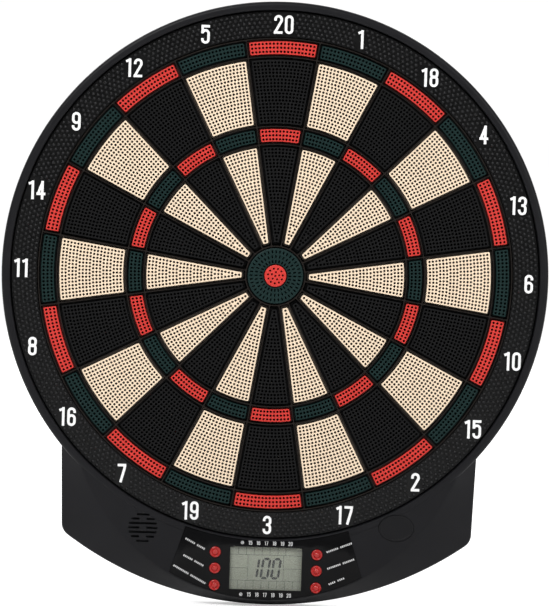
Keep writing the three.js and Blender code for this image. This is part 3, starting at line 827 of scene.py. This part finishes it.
def segment_shell(row):
    wall, edge = row["wall"], SEGMENT_EDGE
    profile = [
        (FLANGE["gap"], FLANGE["back"]),
        (FLANGE["gap"], FLANGE["front"]),
        (WEB_HALF + 0.3, FLANGE["front"]),
        (WEB_HALF + 0.3, GROOVE_FLOOR),
        (wall, GROOVE_FLOOR),
        (wall, SEGMENT_FACE - edge),
        (wall + 0.1 * edge, SEGMENT_FACE - 0.55 * edge),
        (wall + 0.45 * edge, SEGMENT_FACE - 0.12 * edge),
        (wall + edge, SEGMENT_FACE),
    ]
    shell = Shell()
    rings = []
    for move, depth in profile:
        corner = max(0.5, SEGMENT_CORNER + wall - move)
        loop = sector_loop(row["inner"] + move, row["outer"] - move, move, corner)
        rings.append(shell.ring(loop, depth))
    loops = [circle(HOLE["radius"], HOLE["steps"], c) for c in drilled_centres(row)]
    shell.close(rings, front_holes=drilled(shell, loops, SEGMENT_FACE, HOLE["floor"]))
    return shell


def add_segments():
    """Each row's segments share two meshes, one for each colour."""
    for row_name, row in ROWS.items():
        shell = segment_shell(row)
        paints = ("black", "cream") if row_name.startswith("single") else ("red", "green")
        meshes = [shell.made(f"{row_name}_{paint}", paint) for paint in paints]
        for index, score in enumerate(SCORES):
            body, odd = f"sector_{score}", index % 2
            name, turn = f"segment_{score}_{row_name}", math.radians(index * SECTOR_ANGLE)
            placed(meshes[odd], name, body, [body], turn)


BULL_OUTER = {"flange": 26, "neck": 24.3, "edge": 23.4, "bore": 10.0, "clear": 11.9, "counterbore": 20.2}
BULL_SLOTS = {
    "circles": [(12.2, 28), (16.3, 32), (20.4, 40)],
    "length": 2.6,
    "width": 1.15,
    "corner": 0.5,
    "floor": 0.6,
}
BULL_INNER = {"flange": 11.2, "neck": 9.3, "hole": 0.86}
BULL_STEPS = 96


def bull_outer_shell():
    """The outer bull: a flange, a face with circles of slots, and a stepped bore for the inner bull."""
    back, front, edge = Span("bull_outer").back, FLANGE["front"], BULL_OUTER["edge"]
    face, step = SEGMENT_FACE, BULL_OUTER["counterbore"]
    outline = [(BULL_OUTER["flange"], back), (BULL_OUTER["flange"], front), (BULL_OUTER["neck"], front)]
    outline += [(BULL_OUTER["neck"], GROOVE_FLOOR), (edge, GROOVE_FLOOR)]
    outline += [(edge, face - 0.6), (edge - 0.15, face - 0.25), (edge - 0.6, face)]
    bores = [(BULL_OUTER["clear"], back), (BULL_OUTER["clear"], step), (BULL_OUTER["bore"], step)]
    bores += [(BULL_OUTER["bore"], face - 0.4), (BULL_OUTER["bore"] + 0.4, face)]
    shell = Shell()
    rings = shell.round_rings(outline, BULL_STEPS)
    inner_rings = shell.round_rings(bores, BULL_STEPS)
    shell.wall(inner_rings[::-1])
    half_width, half_length = BULL_SLOTS["width"] / 2, BULL_SLOTS["length"] / 2
    slot = rounded(rectangle(-half_width, half_width, -half_length, half_length), BULL_SLOTS["corner"], 3)
    loops = []
    for radius, count in BULL_SLOTS["circles"]:
        raised = [(x, z + radius) for x, z in slot]
        loops += [turned(raised, 2 * math.pi * i / count) for i in range(count)]
    slots = drilled(shell, loops, face, step + BULL_SLOTS["floor"])
    shell.close(rings, [inner_rings[0]], [inner_rings[-1], *slots])
    return shell


def bull_inner_shell():
    back, front, neck = Span("bull_inner").back, FLANGE["front"], BULL_INNER["neck"]
    face = Span("bull_inner").front
    profile = [(BULL_INNER["flange"], back), (BULL_INNER["flange"], front), (neck, front), (neck, face - 0.9)]
    profile += [(neck - 0.15, face - 0.4), (neck - 0.5, face - 0.1), (neck - 1.0, face)]
    shell = Shell()
    rings = shell.round_rings(profile, 72)
    centres = [(0, 0)] + circle(3.2, 5, turn=0.2) + circle(6.25, 11, turn=0.1)
    loops = [circle(BULL_INNER["hole"], 10, c) for c in centres]
    shell.close(rings, front_holes=drilled(shell, loops, face, HOLE["floor"]))
    return shell


def add_bulls():
    add_piece(bull_outer_shell(), "bull_outer_ring", "green", "bull_outer", ["bull_outer"])
    add_piece(bull_inner_shell(), "bull_inner_cap", "red", "bull_inner", ["bull_inner"])


WEB_RIM = {"rim": 199.45, "flange": 209.0, "shelf": 20.9, "crest": 0.18, "hub": 25.0, "corner": 0.9}


def web_cells():
    """The web's openings: one for each segment, and the hub for the bull."""
    cells = []
    for index in range(len(SCORES)):
        for name, row in ROWS.items():
            inner = WEB_RIM["hub"] if name == "single_inner" else row["inner"]
            loop = sector_loop(inner + WEB_HALF, row["outer"] - WEB_HALF, WEB_HALF, WEB_RIM["corner"])
            cells.append(turned(loop, math.radians(index * SECTOR_ANGLE)))
    return cells + [circle(WEB_RIM["hub"] - WEB_HALF, BULL_STEPS)]


def add_web():
    """The web of thin walls, with softened crests, and its flange behind the number ring."""
    rim, flange, shelf, crest = (WEB_RIM[key] for key in ("rim", "flange", "shelf", "crest"))
    outline = [(flange, WEB.back), (flange, shelf), (rim, shelf)]
    outline += [(rim, WEB.front - crest), (rim - crest, WEB.front)]
    shell = Shell()
    rings = shell.round_rings(outline)
    back_holes, front_holes = [], []
    for cell in web_cells():
        levels = [
            shell.ring(cell, WEB.back),
            shell.ring(cell, WEB.front - crest),
            shell.ring(inset(cell, -crest), WEB.front),
        ]
        shell.wall(levels[::-1])
        back_holes.append(levels[0])
        front_holes.append(levels[2])
    shell.close(rings, back_holes, front_holes)
    add_piece(shell, "web", "web", BOARD, ["target_frame"])


# ---------------------------------------------------------------- number ring

RING_BORE = 200.05
DOME = {"rows": 6, "first": 202.4, "pitch": 3.38, "count": 300, "radius": 1.7, "height": 1.25, "clear": 0.25}
NUMERAL = {"radius": 210.8, "height": 15.6, "thickness": 2.1, "proud": 0.45, "sideways": 2.6}


def ring_numbers():
    """Each score with its numeral's shapes, the ones at the sides a little further out."""
    numbers = []
    for index, score in enumerate(SCORES):
        turn = math.radians(index * SECTOR_ANGLE)
        centre = polar(NUMERAL["radius"] + NUMERAL["sideways"] * math.sin(turn) ** 8, turn)
        numbers.append((score, number_shapes(score, centre, NUMERAL["height"], NUMERAL["thickness"])))
    return numbers


def dome_centres(numbers):
    """Centres of the domes in staggered circles, left out round the numerals."""
    clear = DOME["radius"] + DOME["clear"]
    boxes = []
    for _, shapes in numbers:
        xs, zs = zip(*[p for shape in shapes for p in shape])
        boxes.append((min(xs) - clear, max(xs) + clear, min(zs) - clear, max(zs) + clear))
    centres = []
    for row in range(DOME["rows"]):
        for i in range(DOME["count"]):
            turn = 2 * math.pi * (i + row % 2 / 2) / DOME["count"]
            x, z = polar(DOME["first"] + row * DOME["pitch"], turn)
            if not any(left < x < right and bottom < z < top for left, right, bottom, top in boxes):
                centres.append((x, z))
    return centres


def add_number_ring():
    outer, face = RING.right, RING.front
    numbers = ring_numbers()
    profile = [(outer, RING.back), (outer, face - 1.2), (outer - 0.5, face - 0.5), (outer - 1.1, face)]
    bores = [(RING_BORE, RING.back), (RING_BORE, face - 0.4), (RING_BORE + 0.4, face)]
    shell = Shell()
    rings = shell.round_rings(profile)
    inner_rings = shell.round_rings(bores)
    shell.wall(inner_rings[::-1])
    studs = []
    for x, z in dome_centres(numbers):
        levels = [
            shell.ring(circle(DOME["radius"] * part, 8, (x, z)), face + DOME["height"] * lift)
            for part, lift in ((1, 0), (0.8, 0.5), (0.42, 0.9))
        ]
        shell.wall(levels)
        shell.fan(levels[-1], shell.point(x, face + DOME["height"], z))
        studs.append(levels[0])
    shell.close(rings, [inner_rings[0]], [inner_rings[-1], *studs])
    add_piece(shell, "catch_ring", "ring", BOARD, ["number_ring"], 30)
    top = face + DOME["height"] + NUMERAL["proud"]
    for score, shapes in numbers:
        add_piece(inked(shapes, face, top), f"numeral_{score}", "white", BOARD)


# ---------------------------------------------------------------- housing

WALL = 2.5
SEAM = HOUSING.back
RIM_RADIUS = HOUSING.right
RIM_TOP = 30.0
DECK = 29.0
SKIRT_EDGE = 15.0
CONSOLE = {"top": 175.9, "bottom": 173.8, "arc": 288.0, "corner": 12.5, "hidden": -147.0}
CREASE = {"radius": 169.6, "centre": -105.0}
RING_POCKET = RING.right + 0.4


SIDE_STEPS, CORNER_STEPS, BOTTOM_STEPS = 12, 12, 60


def console_outline(move=0.0):
    """The console's outline moved inwards: its sides, round lower corners and bowed bottom."""
    arc_radius, arc_centre = CONSOLE["arc"] - move, HOUSING.bottom + CONSOLE["arc"]
    corner = CONSOLE["corner"] - move
    side = CONSOLE["bottom"] - move
    corner_x = side - corner
    corner_z = arc_centre - math.sqrt((arc_radius - corner) ** 2 - corner_x**2)
    start = math.atan2(corner_z - arc_centre, corner_x)
    half = []
    for i in range(SIDE_STEPS):
        down = i / SIDE_STEPS
        x = (CONSOLE["top"] - move) * (1 - down) + side * down
        half.append((x, (CONSOLE["hidden"] + move) * (1 - down) + corner_z * down))
    for i in range(CORNER_STEPS + 1):
        angle = start * i / CORNER_STEPS
        half.append((corner_x + corner * math.cos(angle), corner_z + corner * math.sin(angle)))
    for i in range(1, BOTTOM_STEPS + 1):
        angle = start + (-math.pi / 2 - start) * i / BOTTOM_STEPS
        half.append((arc_radius * math.cos(angle), arc_centre + arc_radius * math.sin(angle)))
    whole = half + [(-x, z) for x, z in half[-2::-1]]
    return whole[::-1]


def crease_outline(move=0.0):
    """The edge of the deck: the console's outline drawn in to a circle."""
    points = []
    for x, z in console_outline(move):
        scale = (CREASE["radius"] - move) / math.hypot(x, z - CREASE["centre"])
        points.append((x * scale, CREASE["centre"] + (z - CREASE["centre"]) * scale))
    return points


def between(first, second, share):
    """The loop at a share of the way from one loop to another."""
    return [(a[0] + (b[0] - a[0]) * share, a[1] + (b[1] - a[1]) * share) for a, b in zip(first, second)]


def console_loft(move, back, edge, deck, soft):
    """The console's body: an upright edge, a sloping skirt up to the crease, and a flat deck.

    A soft one has round edges. A share of 0 is at the outline and 1 is at the crease.
    """
    low, high = console_outline(move), crease_outline(move)
    levels = [(0, back), (0, edge)]
    if soft:
        levels = [(0, back), (0, edge - 1.5), (0.006, edge - 0.5), (0.03, edge + 0.5)]
        levels += [(share, edge + (deck - edge) * share) for share in (0.1, 0.3, 0.5, 0.7, 0.9, 0.95)]
        levels += [(0.985, deck - 0.35), (1.01, deck - 0.06), (1.03, deck)]
    else:
        levels.append((1, deck))
    shell = Shell()
    shell.close([shell.ring(between(low, high, share), depth) for share, depth in levels])
    return shell


FACEPLATE = {"top_radius": 224.4, "top_x": 68.6, "above_crease": 0.7, "steps": 40}


def faceplate_outline(clearance):
    """The gloss plate's outline: it follows the ring above and the crease below."""
    top_radius = FACEPLATE["top_radius"] - clearance
    bottom_radius = CREASE["radius"] - FACEPLATE["above_crease"] + clearance
    top_x, bottom_x = FACEPLATE["top_x"] + clearance, PLATE.right + clearance
    shares = [2 * i / FACEPLATE["steps"] - 1 for i in range(FACEPLATE["steps"] + 1)]
    upper = [-top_x * share for share in shares]
    lower = [bottom_x * share for share in shares]
    points = [(x, -math.sqrt(top_radius**2 - x * x)) for x in upper]
    return points + [(x, CREASE["centre"] - math.sqrt(bottom_radius**2 - x * x)) for x in lower]


BUTTON_RADIUS = 4.7
BUTTON_ROWS = {"top": -234.8, "middle": -248.5, "bottom": -262.9}
BUTTON_NAMES = [f"button_{side}_{row}" for side in ("left", "right") for row in BUTTON_ROWS]
BUTTON_SPANS = {name: Span(name) for name in BUTTON_NAMES}


def button_centre(name):
    return BUTTON_SPANS[name].x, BUTTON_ROWS[name.split("_")[2]]


SPEAKER_SLOT = {"pitch": 3.75, "height": 1.9, "half_rib": 2.9, "field": 12.7, "corner": 0.9}


def speaker_slots(back, front):
    """Level slots across a round field; every other row is split by a rib."""
    pitch, half_height, rib = SPEAKER_SLOT["pitch"], SPEAKER_SLOT["height"] / 2, SPEAKER_SLOT["half_rib"]
    slots = []
    for row in range(-3, 4):
        z = SPEAKER.z + row * pitch
        reach = math.sqrt(SPEAKER_SLOT["field"] ** 2 - (row * pitch) ** 2) - 0.4
        spans = [(-reach, -rib), (rib, reach)] if row % 2 == 0 else [(-reach, reach)]
        for left, right in spans:
            outline = rectangle(SPEAKER.x + left, SPEAKER.x + right, z - half_height, z + half_height)
            slots.append(slab(rounded(outline, SPEAKER_SLOT["corner"]), back, front))
    return slots


PLATE_FLOOR = PLATE.back - 0.3
BEHIND, AHEAD = -1, 40
RIM_ROUND = 3.4
SHELF = {"front": RING.back - 0.3, "back": 21.2, "bore": 200.4}
CAVITY_ROOF = 25.6


def rim_ring():
    """The round part's rim: a rounded crown, the number ring's pocket and the shelf under it."""
    edge, pocket, soft = RIM_RADIUS, RING_POCKET, RIM_ROUND
    angles = [math.radians(9 * i) for i in range(1, 11)]
    profile = [(edge, SEAM), (edge, RIM_TOP - soft)]
    profile += [(edge - soft + soft * math.cos(a), RIM_TOP - soft + soft * math.sin(a)) for a in angles]
    profile += [(pocket + 1.2, RIM_TOP), (pocket + 0.5, RIM_TOP - 0.2), (pocket + 0.1, RIM_TOP - 0.7)]
    profile += [(pocket, RIM_TOP - 1.4), (pocket, SHELF["front"]), (SHELF["bore"], SHELF["front"])]
    profile += [(SHELF["bore"], SHELF["back"]), (edge - WALL, SHELF["back"]), (edge - WALL, SEAM)]
    return lathe(profile, steps=ROUND_STEPS)


def front_housing_shell():
    """Rim and console joined, hollowed from the back and opened for the fittings."""
    body = union(rim_ring(), console_loft(0, SEAM, SKIRT_EDGE, DECK, True))
    cavity = cut(
        console_loft(WALL, SEAM - 1, SKIRT_EDGE - 1, CAVITY_ROOF, False),
        slab(circle(RING_POCKET + 2.4), SHELF["back"], RIM_TOP),
    )
    badge_hole = ellipse((BADGE.x, BADGE.z), BADGE.width / 2 + 0.3, BADGE.height / 2 + 0.3)
    tools = [
        cavity,
        slab(circle(SHELF["bore"]), 0, AHEAD),
        slab(circle(RING_POCKET), SHELF["front"], AHEAD),
        slab(faceplate_outline(0.3), PLATE_FLOOR, AHEAD),
        slab(badge_hole, DECK - 1.1, AHEAD),
        slab(rounded(around(WINDOW, 0.4), 1.0), 20, AHEAD),
    ]
    for name in BUTTON_NAMES:
        tools.append(slab(circle(BUTTON_RADIUS + 0.3, 64, button_centre(name)), 20, 35))
    return cut(body, *tools, *speaker_slots(20, 32))


def add_front_housing():
    add_piece(front_housing_shell(), "housing_shell", "housing", BOARD, ["front_housing"], 24)
    outline = ellipse((BADGE.x, BADGE.z), BADGE.width / 2, BADGE.height / 2)
    profile = [(0, BADGE.back), (0, BADGE.front - 0.35), (0.1, BADGE.front - 0.1), (0.4, BADGE.front)]
    profile += [(1.6, BADGE.front), (1.9, BADGE.front - 0.2), (2.3, BADGE.front - 0.2)]
    add_piece(plate(outline, profile), "badge", "badge", BOARD, ["badge_blank"])


# ---------------------------------------------------------------- console fittings


WINDOW_HOLE = {"half_width": 30.4, "half_height": 18.2, "corner": 0.8}


def add_faceplate():
    half_width, half_height = WINDOW_HOLE["half_width"], WINDOW_HOLE["half_height"]
    window = rectangle(
        WINDOW.x - half_width, WINDOW.x + half_width, WINDOW.z - half_height, WINDOW.z + half_height
    )
    holes = [rounded(window, WINDOW_HOLE["corner"])]
    holes += [circle(BUTTON_RADIUS + 0.3, 48, button_centre(n)) for n in BUTTON_NAMES]
    profile = [(0, PLATE.back), (0, PLATE.front - 0.12), (0.04, PLATE.front - 0.04), (0.12, PLATE.front)]
    shell = plate(faceplate_outline(0), profile, holes, edge=0.08)
    add_piece(shell, "gloss_plate", "gloss", BOARD, ["faceplate"])


MARK = {"pitch": 6.76, "height": 3.5, "thickness": 0.5, "rise": 21.7, "drop": 22.3, "lift": 0.05}
MARKED_NUMBERS = (15, 16, 17, 18, 19, 20)
LABEL_BAR = {"width": 0.95, "height": 1.6, "pitch": 1.5}
LABEL_LINES = [
    ((-68.6, -223.8), (-51.7, -232.7)),
    ((-69.9, -238.0), (-52.4, -246.9)),
    ((-78.0, -246.9), (-50.3, -261.9)),
    ((50.8, -232.3), (72.3, -223.8)),
    ((51.8, -246.4), (74.8, -237.4)),
    ((53.4, -259.6), (66.8, -253.6)),
]


def mark_shapes(z):
    """A small ring and the target numbers in a row."""
    first = WINDOW.x - len(MARKED_NUMBERS) / 2 * MARK["pitch"]
    shapes = stroke(circle(1.1, 20, (first, z)), MARK["thickness"], True) + [circle(0.45, 10, (first, z))]
    for slot, number in enumerate(MARKED_NUMBERS, 1):
        centre = (first + slot * MARK["pitch"], z)
        shapes += number_shapes(number, centre, MARK["height"], MARK["thickness"])
    return shapes


def label_shapes(start, end):
    """Plain bars in a row from start to end, in two groups."""
    line = Vector(end) - Vector(start)
    along = line.normalized()
    across = Vector((-along.y, along.x)) * LABEL_BAR["height"] / 2
    half = along * LABEL_BAR["width"] / 2
    count = int(line.length / LABEL_BAR["pitch"])
    shapes = []
    for i in range(count):
        if i == count // 2:
            continue
        middle = Vector(start) + along * (i + 0.5) * line.length / count
        left, right = middle - half, middle + half
        shapes.append([left - across, right - across, right + across, left + across])
    return shapes


def add_prints():
    """The plate's white print: numbers over and under the display, and blank labels at the buttons."""
    shapes = mark_shapes(WINDOW.z + MARK["rise"]) + mark_shapes(WINDOW.z - MARK["drop"])
    for start, end in LABEL_LINES:
        shapes += label_shapes(start, end)
    shell = inked(shapes, PLATE.front - 0.05, PLATE.front + MARK["lift"])
    add_piece(shell, "plate_print", "print", BOARD)


DISPLAY_DIGIT = {"height": 18.3, "width": 7.65, "stroke": 2.0, "slant": 0.135, "gap": 0.35, "drop": 0.4}
SCORE = ((-9.3, (1, 2)), (-0.1, range(6)), (8.9, range(6)))
GRID = {"reach": 30.2, "band": 11.0, "edge": 17.9, "column": 15.0, "tick": 6.65, "line": 0.4, "drop": 0.4}
INK_DEPTH = 0.03


def segment_digit(x, z, bars):
    """A slanted numeral of straight bars, numbered clockwise from the top one."""
    half_width = (DISPLAY_DIGIT["width"] - DISPLAY_DIGIT["stroke"]) / 2
    half_height = (DISPLAY_DIGIT["height"] - DISPLAY_DIGIT["stroke"]) / 2
    gap, thick = DISPLAY_DIGIT["gap"], DISPLAY_DIGIT["stroke"] / 2
    left = [(-half_width, z) for z in (-half_height, 0, half_height)]
    right = [(half_width, z) for z in (half_height, 0, -half_height)]
    corners = [left[2], *right, *left]
    shapes = []
    for bar in bars:
        start, end = Vector(corners[bar]), Vector(corners[bar + 1])
        along = (end - start).normalized()
        across = Vector((-along.y, along.x)) * thick
        start, end = start + along * gap, end - along * gap
        outline = [
            start,
            start + along * thick - across,
            end - along * thick - across,
            end,
            end - along * thick + across,
            start + along * thick + across,
        ]
        shapes.append([(x + p.x + p.y * DISPLAY_DIGIT["slant"], z + p.y) for p in outline])
    return shapes


def grid_shapes():
    """The display's thin lines: two bands of ticks, and a box on each side of the score."""
    x, z = WINDOW.x, WINDOW.z
    reach, band, edge, column = GRID["reach"], GRID["band"], GRID["edge"], GRID["column"]
    lines = [[(x - reach, z + side * band), (x + reach, z + side * band)] for side in (1, -1)]
    lines += [[(x + side * column, z - band), (x + side * column, z + band)] for side in (-1, 1)]
    middle = z - GRID["drop"]
    lines += [[(x - reach, middle), (x - column, middle)], [(x + column, middle), (x + reach, middle)]]
    for k in range(-3, 4):
        tick = x + k * GRID["tick"] - 3.2
        lines.append([(tick, z + band), (tick, z + edge)])
    for k in range(-3, 5):
        tick = x + k * GRID["tick"] - 3.5
        lines.append([(tick, z - edge), (tick, z - band)])
    return [shape for points in lines for shape in stroke(points, GRID["line"])]


def add_display():
    profile = [(0, WINDOW.back), (0, WINDOW.front - 0.2), (0.2, WINDOW.front)]
    window = plate(rounded(around(WINDOW, 0), 0.8), profile)
    add_piece(window, "window", "clear", BOARD, ["display_window"])
    top = GLASS.front - 0.15
    profile = [(0, GLASS.back), (0, top - 0.15), (0.15, top)]
    glass = plate(rounded(around(GLASS, 0), 0.5), profile)
    add_piece(glass, "glass", "display", BOARD, ["display_glass"])
    grid = inked(grid_shapes(), top - INK_DEPTH, top + INK_DEPTH)
    add_piece(grid, "display_grid", "display_line", BOARD)
    digits = []
    for x, bars in SCORE:
        digits += segment_digit(WINDOW.x + x, WINDOW.z - DISPLAY_DIGIT["drop"], bars)
    ink = inked(digits, top - INK_DEPTH, top + 2 * INK_DEPTH)
    add_piece(ink, "display_digits", "display_ink", BOARD)


def button_profile(back, top):
    """A round cap with a raised rim and a dome in a moat."""
    radius = BUTTON_RADIUS
    quarter = [math.radians(90 * i / 8) for i in range(1, 9)]
    profile = [(0, back), (radius, back), (radius, top - 2.4)]
    profile += [(radius * (0.8 + 0.2 * math.cos(a)), top - 2.4 + 1.3 * math.sin(a)) for a in quarter]
    profile += [(0.72 * radius, top - 1.25), (0.65 * radius, top - 1.7), (0.58 * radius, top - 1.75)]
    profile += [(0.52 * radius * math.cos(a), top - 1.6 + 1.6 * math.sin(a)) for a in quarter[:-1]]
    return profile + [(0, top)]


def add_buttons():
    for name in BUTTON_NAMES:
        span = BUTTON_SPANS[name]
        x, z = button_centre(name)
        cap = lathe(button_profile(span.back, span.front), (x, z), 40)
        ears = block(span.left, span.right, span.back, span.back + 1, z - 1.6, z + 3.4)
        add_piece(union(cap, ears), f"{name}_cap", "button", name, [name], 40)


# ---------------------------------------------------------------- back

KEYHOLE = {"x": 100, "z": 120, "radius": 5.5, "slot": 2.5, "length": 12}
COVER_INSET = 1.0
PLATE_BACK = 2.4
COMPARTMENT = {"half_width": 32, "half_height": 24.5, "wall": 1.6, "roof": 17.0, "front": 17.9}


def board_outline_solids(move, back, front, edge=0.0):
    """The whole board's outline as two solids to be joined: the round part and the console part."""
    profile = [(0, back), (0, front)]
    if edge:
        profile = [(edge, back), (0.3 * edge, back + 0.3 * edge), (0, back + edge), (0, front)]
    return plate(circle(RIM_RADIUS - move), profile), plate(console_outline(move), profile)


def keyhole_outline(side):
    """A round hole with a narrower slot above it."""
    x, z = side * KEYHOLE["x"], KEYHOLE["z"]
    radius, slot = KEYHOLE["radius"], KEYHOLE["slot"]
    top = z + KEYHOLE["length"]
    meet = math.asin(slot / radius)
    around_hole = [math.pi / 2 + meet + (2 * math.pi - 2 * meet) * i / 48 for i in range(49)]
    around_slot = [math.pi * i / 16 for i in range(17)]
    points = [(x + radius * math.cos(a), z + radius * math.sin(a)) for a in around_hole]
    return points + [(x + slot * math.cos(a), top + slot * math.sin(a)) for a in around_slot]


def hoop(radius, width, back, front):
    """A hoop round the bull's axis: radius is its inside, and width is how much further out it goes."""
    outer = radius + width
    return lathe([(outer, back), (outer, front), (radius, front), (radius, back)], steps=ROUND_STEPS)


RIBS = {"radii": (80, 170), "width": 2, "front": 8.7}
GROOVES = {"radii": (60, 120, 190), "width": 1.4, "depth": 0.5}
VENTS = {"pitch": 7, "half_width": 1.2, "bottom": -196, "top": -176, "corner": 1.1}
SCREW_NAMES = [f"cover_screw_{i}" for i in range(1, 9)]
BOSS = {"radius": 4.6, "front": 10}
SCREW_HOLE = [(0, -1), (4.2, -1), (4.2, 0.0), (3.3, 0.9), (3.3, 4.3), (1.5, 4.3), (1.5, 20), (0, 20)]
COVER_CORNER = 1.2


def cover_body(centres):
    """The cover's tray with its ribs, battery box, door ledge, screw bosses and keyhole rims."""
    tray = union(*board_outline_solids(COVER_INSET, 0, COVER.back + 10, COVER_CORNER))
    hollow = union(*board_outline_solids(COVER_INSET + WALL, PLATE_BACK, 11))
    half_width = COMPARTMENT["half_width"] + COMPARTMENT["wall"]
    half_height = COMPARTMENT["half_height"] + COMPARTMENT["wall"]
    added = [hoop(radius, RIBS["width"], 2, RIBS["front"]) for radius in RIBS["radii"]]
    added.append(
        block(-half_width, half_width, 2, COMPARTMENT["front"], DOOR.z - half_height, DOOR.z + half_height)
    )
    added.append(slab(around(DOOR, 2.3), 2, 4))
    boss = [(0, 1), (BOSS["radius"], 1), (BOSS["radius"], BOSS["front"]), (0, BOSS["front"])]
    added += [lathe(boss, centre, 32) for centre in centres]
    rim = [(0, 1), (0, 4.4), (0.4, 4.8)]
    added += [plate(inset(keyhole_outline(side), -2.2), rim) for side in (-1, 1)]
    return union(cut(tray, hollow), *added)


def rear_cover_shell():
    """The cover's body with the battery box, keyholes, screw holes, ring grooves and vents cut into it."""
    centres = [(span.x, span.z) for span in map(Span, SCREW_NAMES)]
    half_width, half_height = COMPARTMENT["half_width"], COMPARTMENT["half_height"]
    tools = [
        block(-half_width, half_width, -1, COMPARTMENT["roof"], DOOR.z - half_height, DOOR.z + half_height),
        slab(rounded(around(DOOR, 0.3), COVER_CORNER), -1, PLATE_BACK),
    ]
    for outline in (keyhole_outline(-1), keyhole_outline(1)):
        tools.append(slab(outline, -1, 6))
        tools.append(plate(inset(outline, -1.0), [(0, -1), (0, 0.4), (0.8, 0.6)]))
    tools += [lathe(SCREW_HOLE, centre, 32) for centre in centres]
    tools += [hoop(radius, GROOVES["width"], -1, GROOVES["depth"]) for radius in GROOVES["radii"]]
    for k in range(-6, 7):
        left, right = k * VENTS["pitch"] - VENTS["half_width"], k * VENTS["pitch"] + VENTS["half_width"]
        slot = rectangle(left, right, VENTS["bottom"], VENTS["top"])
        tools.append(slab(rounded(slot, VENTS["corner"]), -1, 3))
    return cut(cover_body(centres), *tools)


GRIP = {"count": 7, "pitch": 1.9, "height": 0.9, "rise": 5, "half_width": 11, "taper": 0.8, "depth": 0.5}
ARROW = {"half_width": 5, "tip": 19, "top": 24}


def door_shell():
    """The battery door's panel, with a tapering row of finger grooves and an arrow over them."""
    outline = rounded(around(DOOR, 0), COVER_CORNER)
    panel = plate(outline, [(0.3, DOOR.back), (0, DOOR.back + 0.3), (0, DOOR.front)])
    grooves = []
    for k in range(GRIP["count"]):
        z = DOOR.bottom + GRIP["rise"] + k * GRIP["pitch"]
        reach = GRIP["half_width"] - k * GRIP["taper"]
        grooves.append(block(-reach, reach, -1, DOOR.back + GRIP["depth"], z, z + GRIP["height"]))
    tip, top = DOOR.bottom + ARROW["tip"], DOOR.bottom + ARROW["top"]
    arrow = slab([(-ARROW["half_width"], top), (0, tip), (ARROW["half_width"], top)], -1, GRIP["depth"])
    return cut(panel, *grooves, arrow)


def add_back():
    add_piece(rear_cover_shell(), "back_shell", "cover", BOARD, ["rear_cover"], 18)
    add_piece(door_shell(), "door_panel", "cover", "battery_door", ["battery_door"])


SCREW = {"head": 3.0, "core": 1.2, "crest": 1.45, "neck": 4.0, "first_turn": 4.4, "pitch": 1.1}
CROSS = {"half_length": 1.7, "half_width": 0.35, "depth": 1.3}


def screw_shell(span):
    """A cross-head screw with a pan head, and a thread drawn as rings."""
    back, head, core = span.back, SCREW["head"], SCREW["core"]
    profile = [(0, back), (1.2, back + 0.02), (2.2, back + 0.25), (2.85, back + 0.7), (head, back + 1.0)]
    profile += [(head, SCREW["neck"]), (core, SCREW["neck"])]
    depth = SCREW["first_turn"]
    while depth < span.front - 2.2:
        profile += [(core, depth), (SCREW["crest"], depth + 0.25), (core, depth + 0.5)]
        depth += SCREW["pitch"]
    profile += [(1.15, span.front - 1.5), (0, span.front)]
    body = lathe(profile, (span.x, span.z), 28)
    long, short = CROSS["half_length"], CROSS["half_width"]
    cross = [
        block(span.x - x, span.x + x, -1, back + CROSS["depth"], span.z - z, span.z + z)
        for x, z in ((long, short), (short, long))
    ]
    return cut(body, *cross)


def add_screws():
    for name in SCREW_NAMES:
        add_piece(screw_shell(Span(name)), f"{name}_part", "steel", BOARD, [name])


def lying_lathe(profile, depth, z, steps=40):
    """A round solid on an axis along X: profile is (x, radius) with rising x, and radius 0 at both ends."""
    shell = Shell()
    rings = []
    for x, radius in profile[1:-1]:
        start = len(shell.vertices)
        loop = circle(radius, steps, (depth, z))
        shell.vertices += [(x, ring_depth, ring_z) for ring_depth, ring_z in loop]
        rings.append(list(range(start, start + steps)))
    shell.wall(rings[::-1])
    shell.fan(rings[-1][::-1], shell.point(profile[-1][0], depth, z))
    shell.fan(rings[0], shell.point(profile[0][0], depth, z))
    return shell


CELL_BASE = [(-25, 0), (-25, 0.6), (-25, 4.2), (-24.7, 4.5), (-24.7, 6.2), (-24.6, 6.8)]
CELL_BUTTON = [(23.8, 6.9), (24.0, 6.2), (24.0, 3.2), (24.2, 2.75), (24.8, 2.7), (25, 2.4), (25, 0)]
TURNED_CELL = 2


def add_cells():
    """Three cells side by side, the middle one the other way round."""
    for index in (1, 2, 3):
        name = f"battery_cell_{index}"
        span = Span(name)
        radius = span.height / 2
        profile = CELL_BASE + [(-24.2, radius), (-23.6, radius), (23.4, radius)] + CELL_BUTTON
        if index == TURNED_CELL:
            profile = [(-x, r) for x, r in profile[::-1]]
        shell = lying_lathe(profile, (span.back + span.front) / 2, span.z)
        add_piece(shell, f"{name}_can", "cell", BOARD, [name])


CARRIED = {
    "damper_sheet": "rubber",
    "switch_matrix": "membrane",
    "backing_plate": "hardboard",
    "membrane_tail": "membrane",
    "display_contact_strip": "rubber",
    "keypad_left": "rubber",
    "keypad_right": "rubber",
    "main_board": "circuit",
    "speaker": "cone",
    "battery_contact_left": "steel",
    "battery_contact_right": "steel",
}


def paint_carried():
    for name, paint in CARRIED.items():
        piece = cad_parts[name]
        piece.data.materials.clear()
        piece.data.materials.append(PAINT[paint])


add_camera()
set_stage()
add_segments()
add_bulls()
add_web()
add_number_ring()
add_front_housing()
add_faceplate()
add_prints()
add_display()
add_buttons()
add_back()
add_screws()
add_cells()
paint_carried()
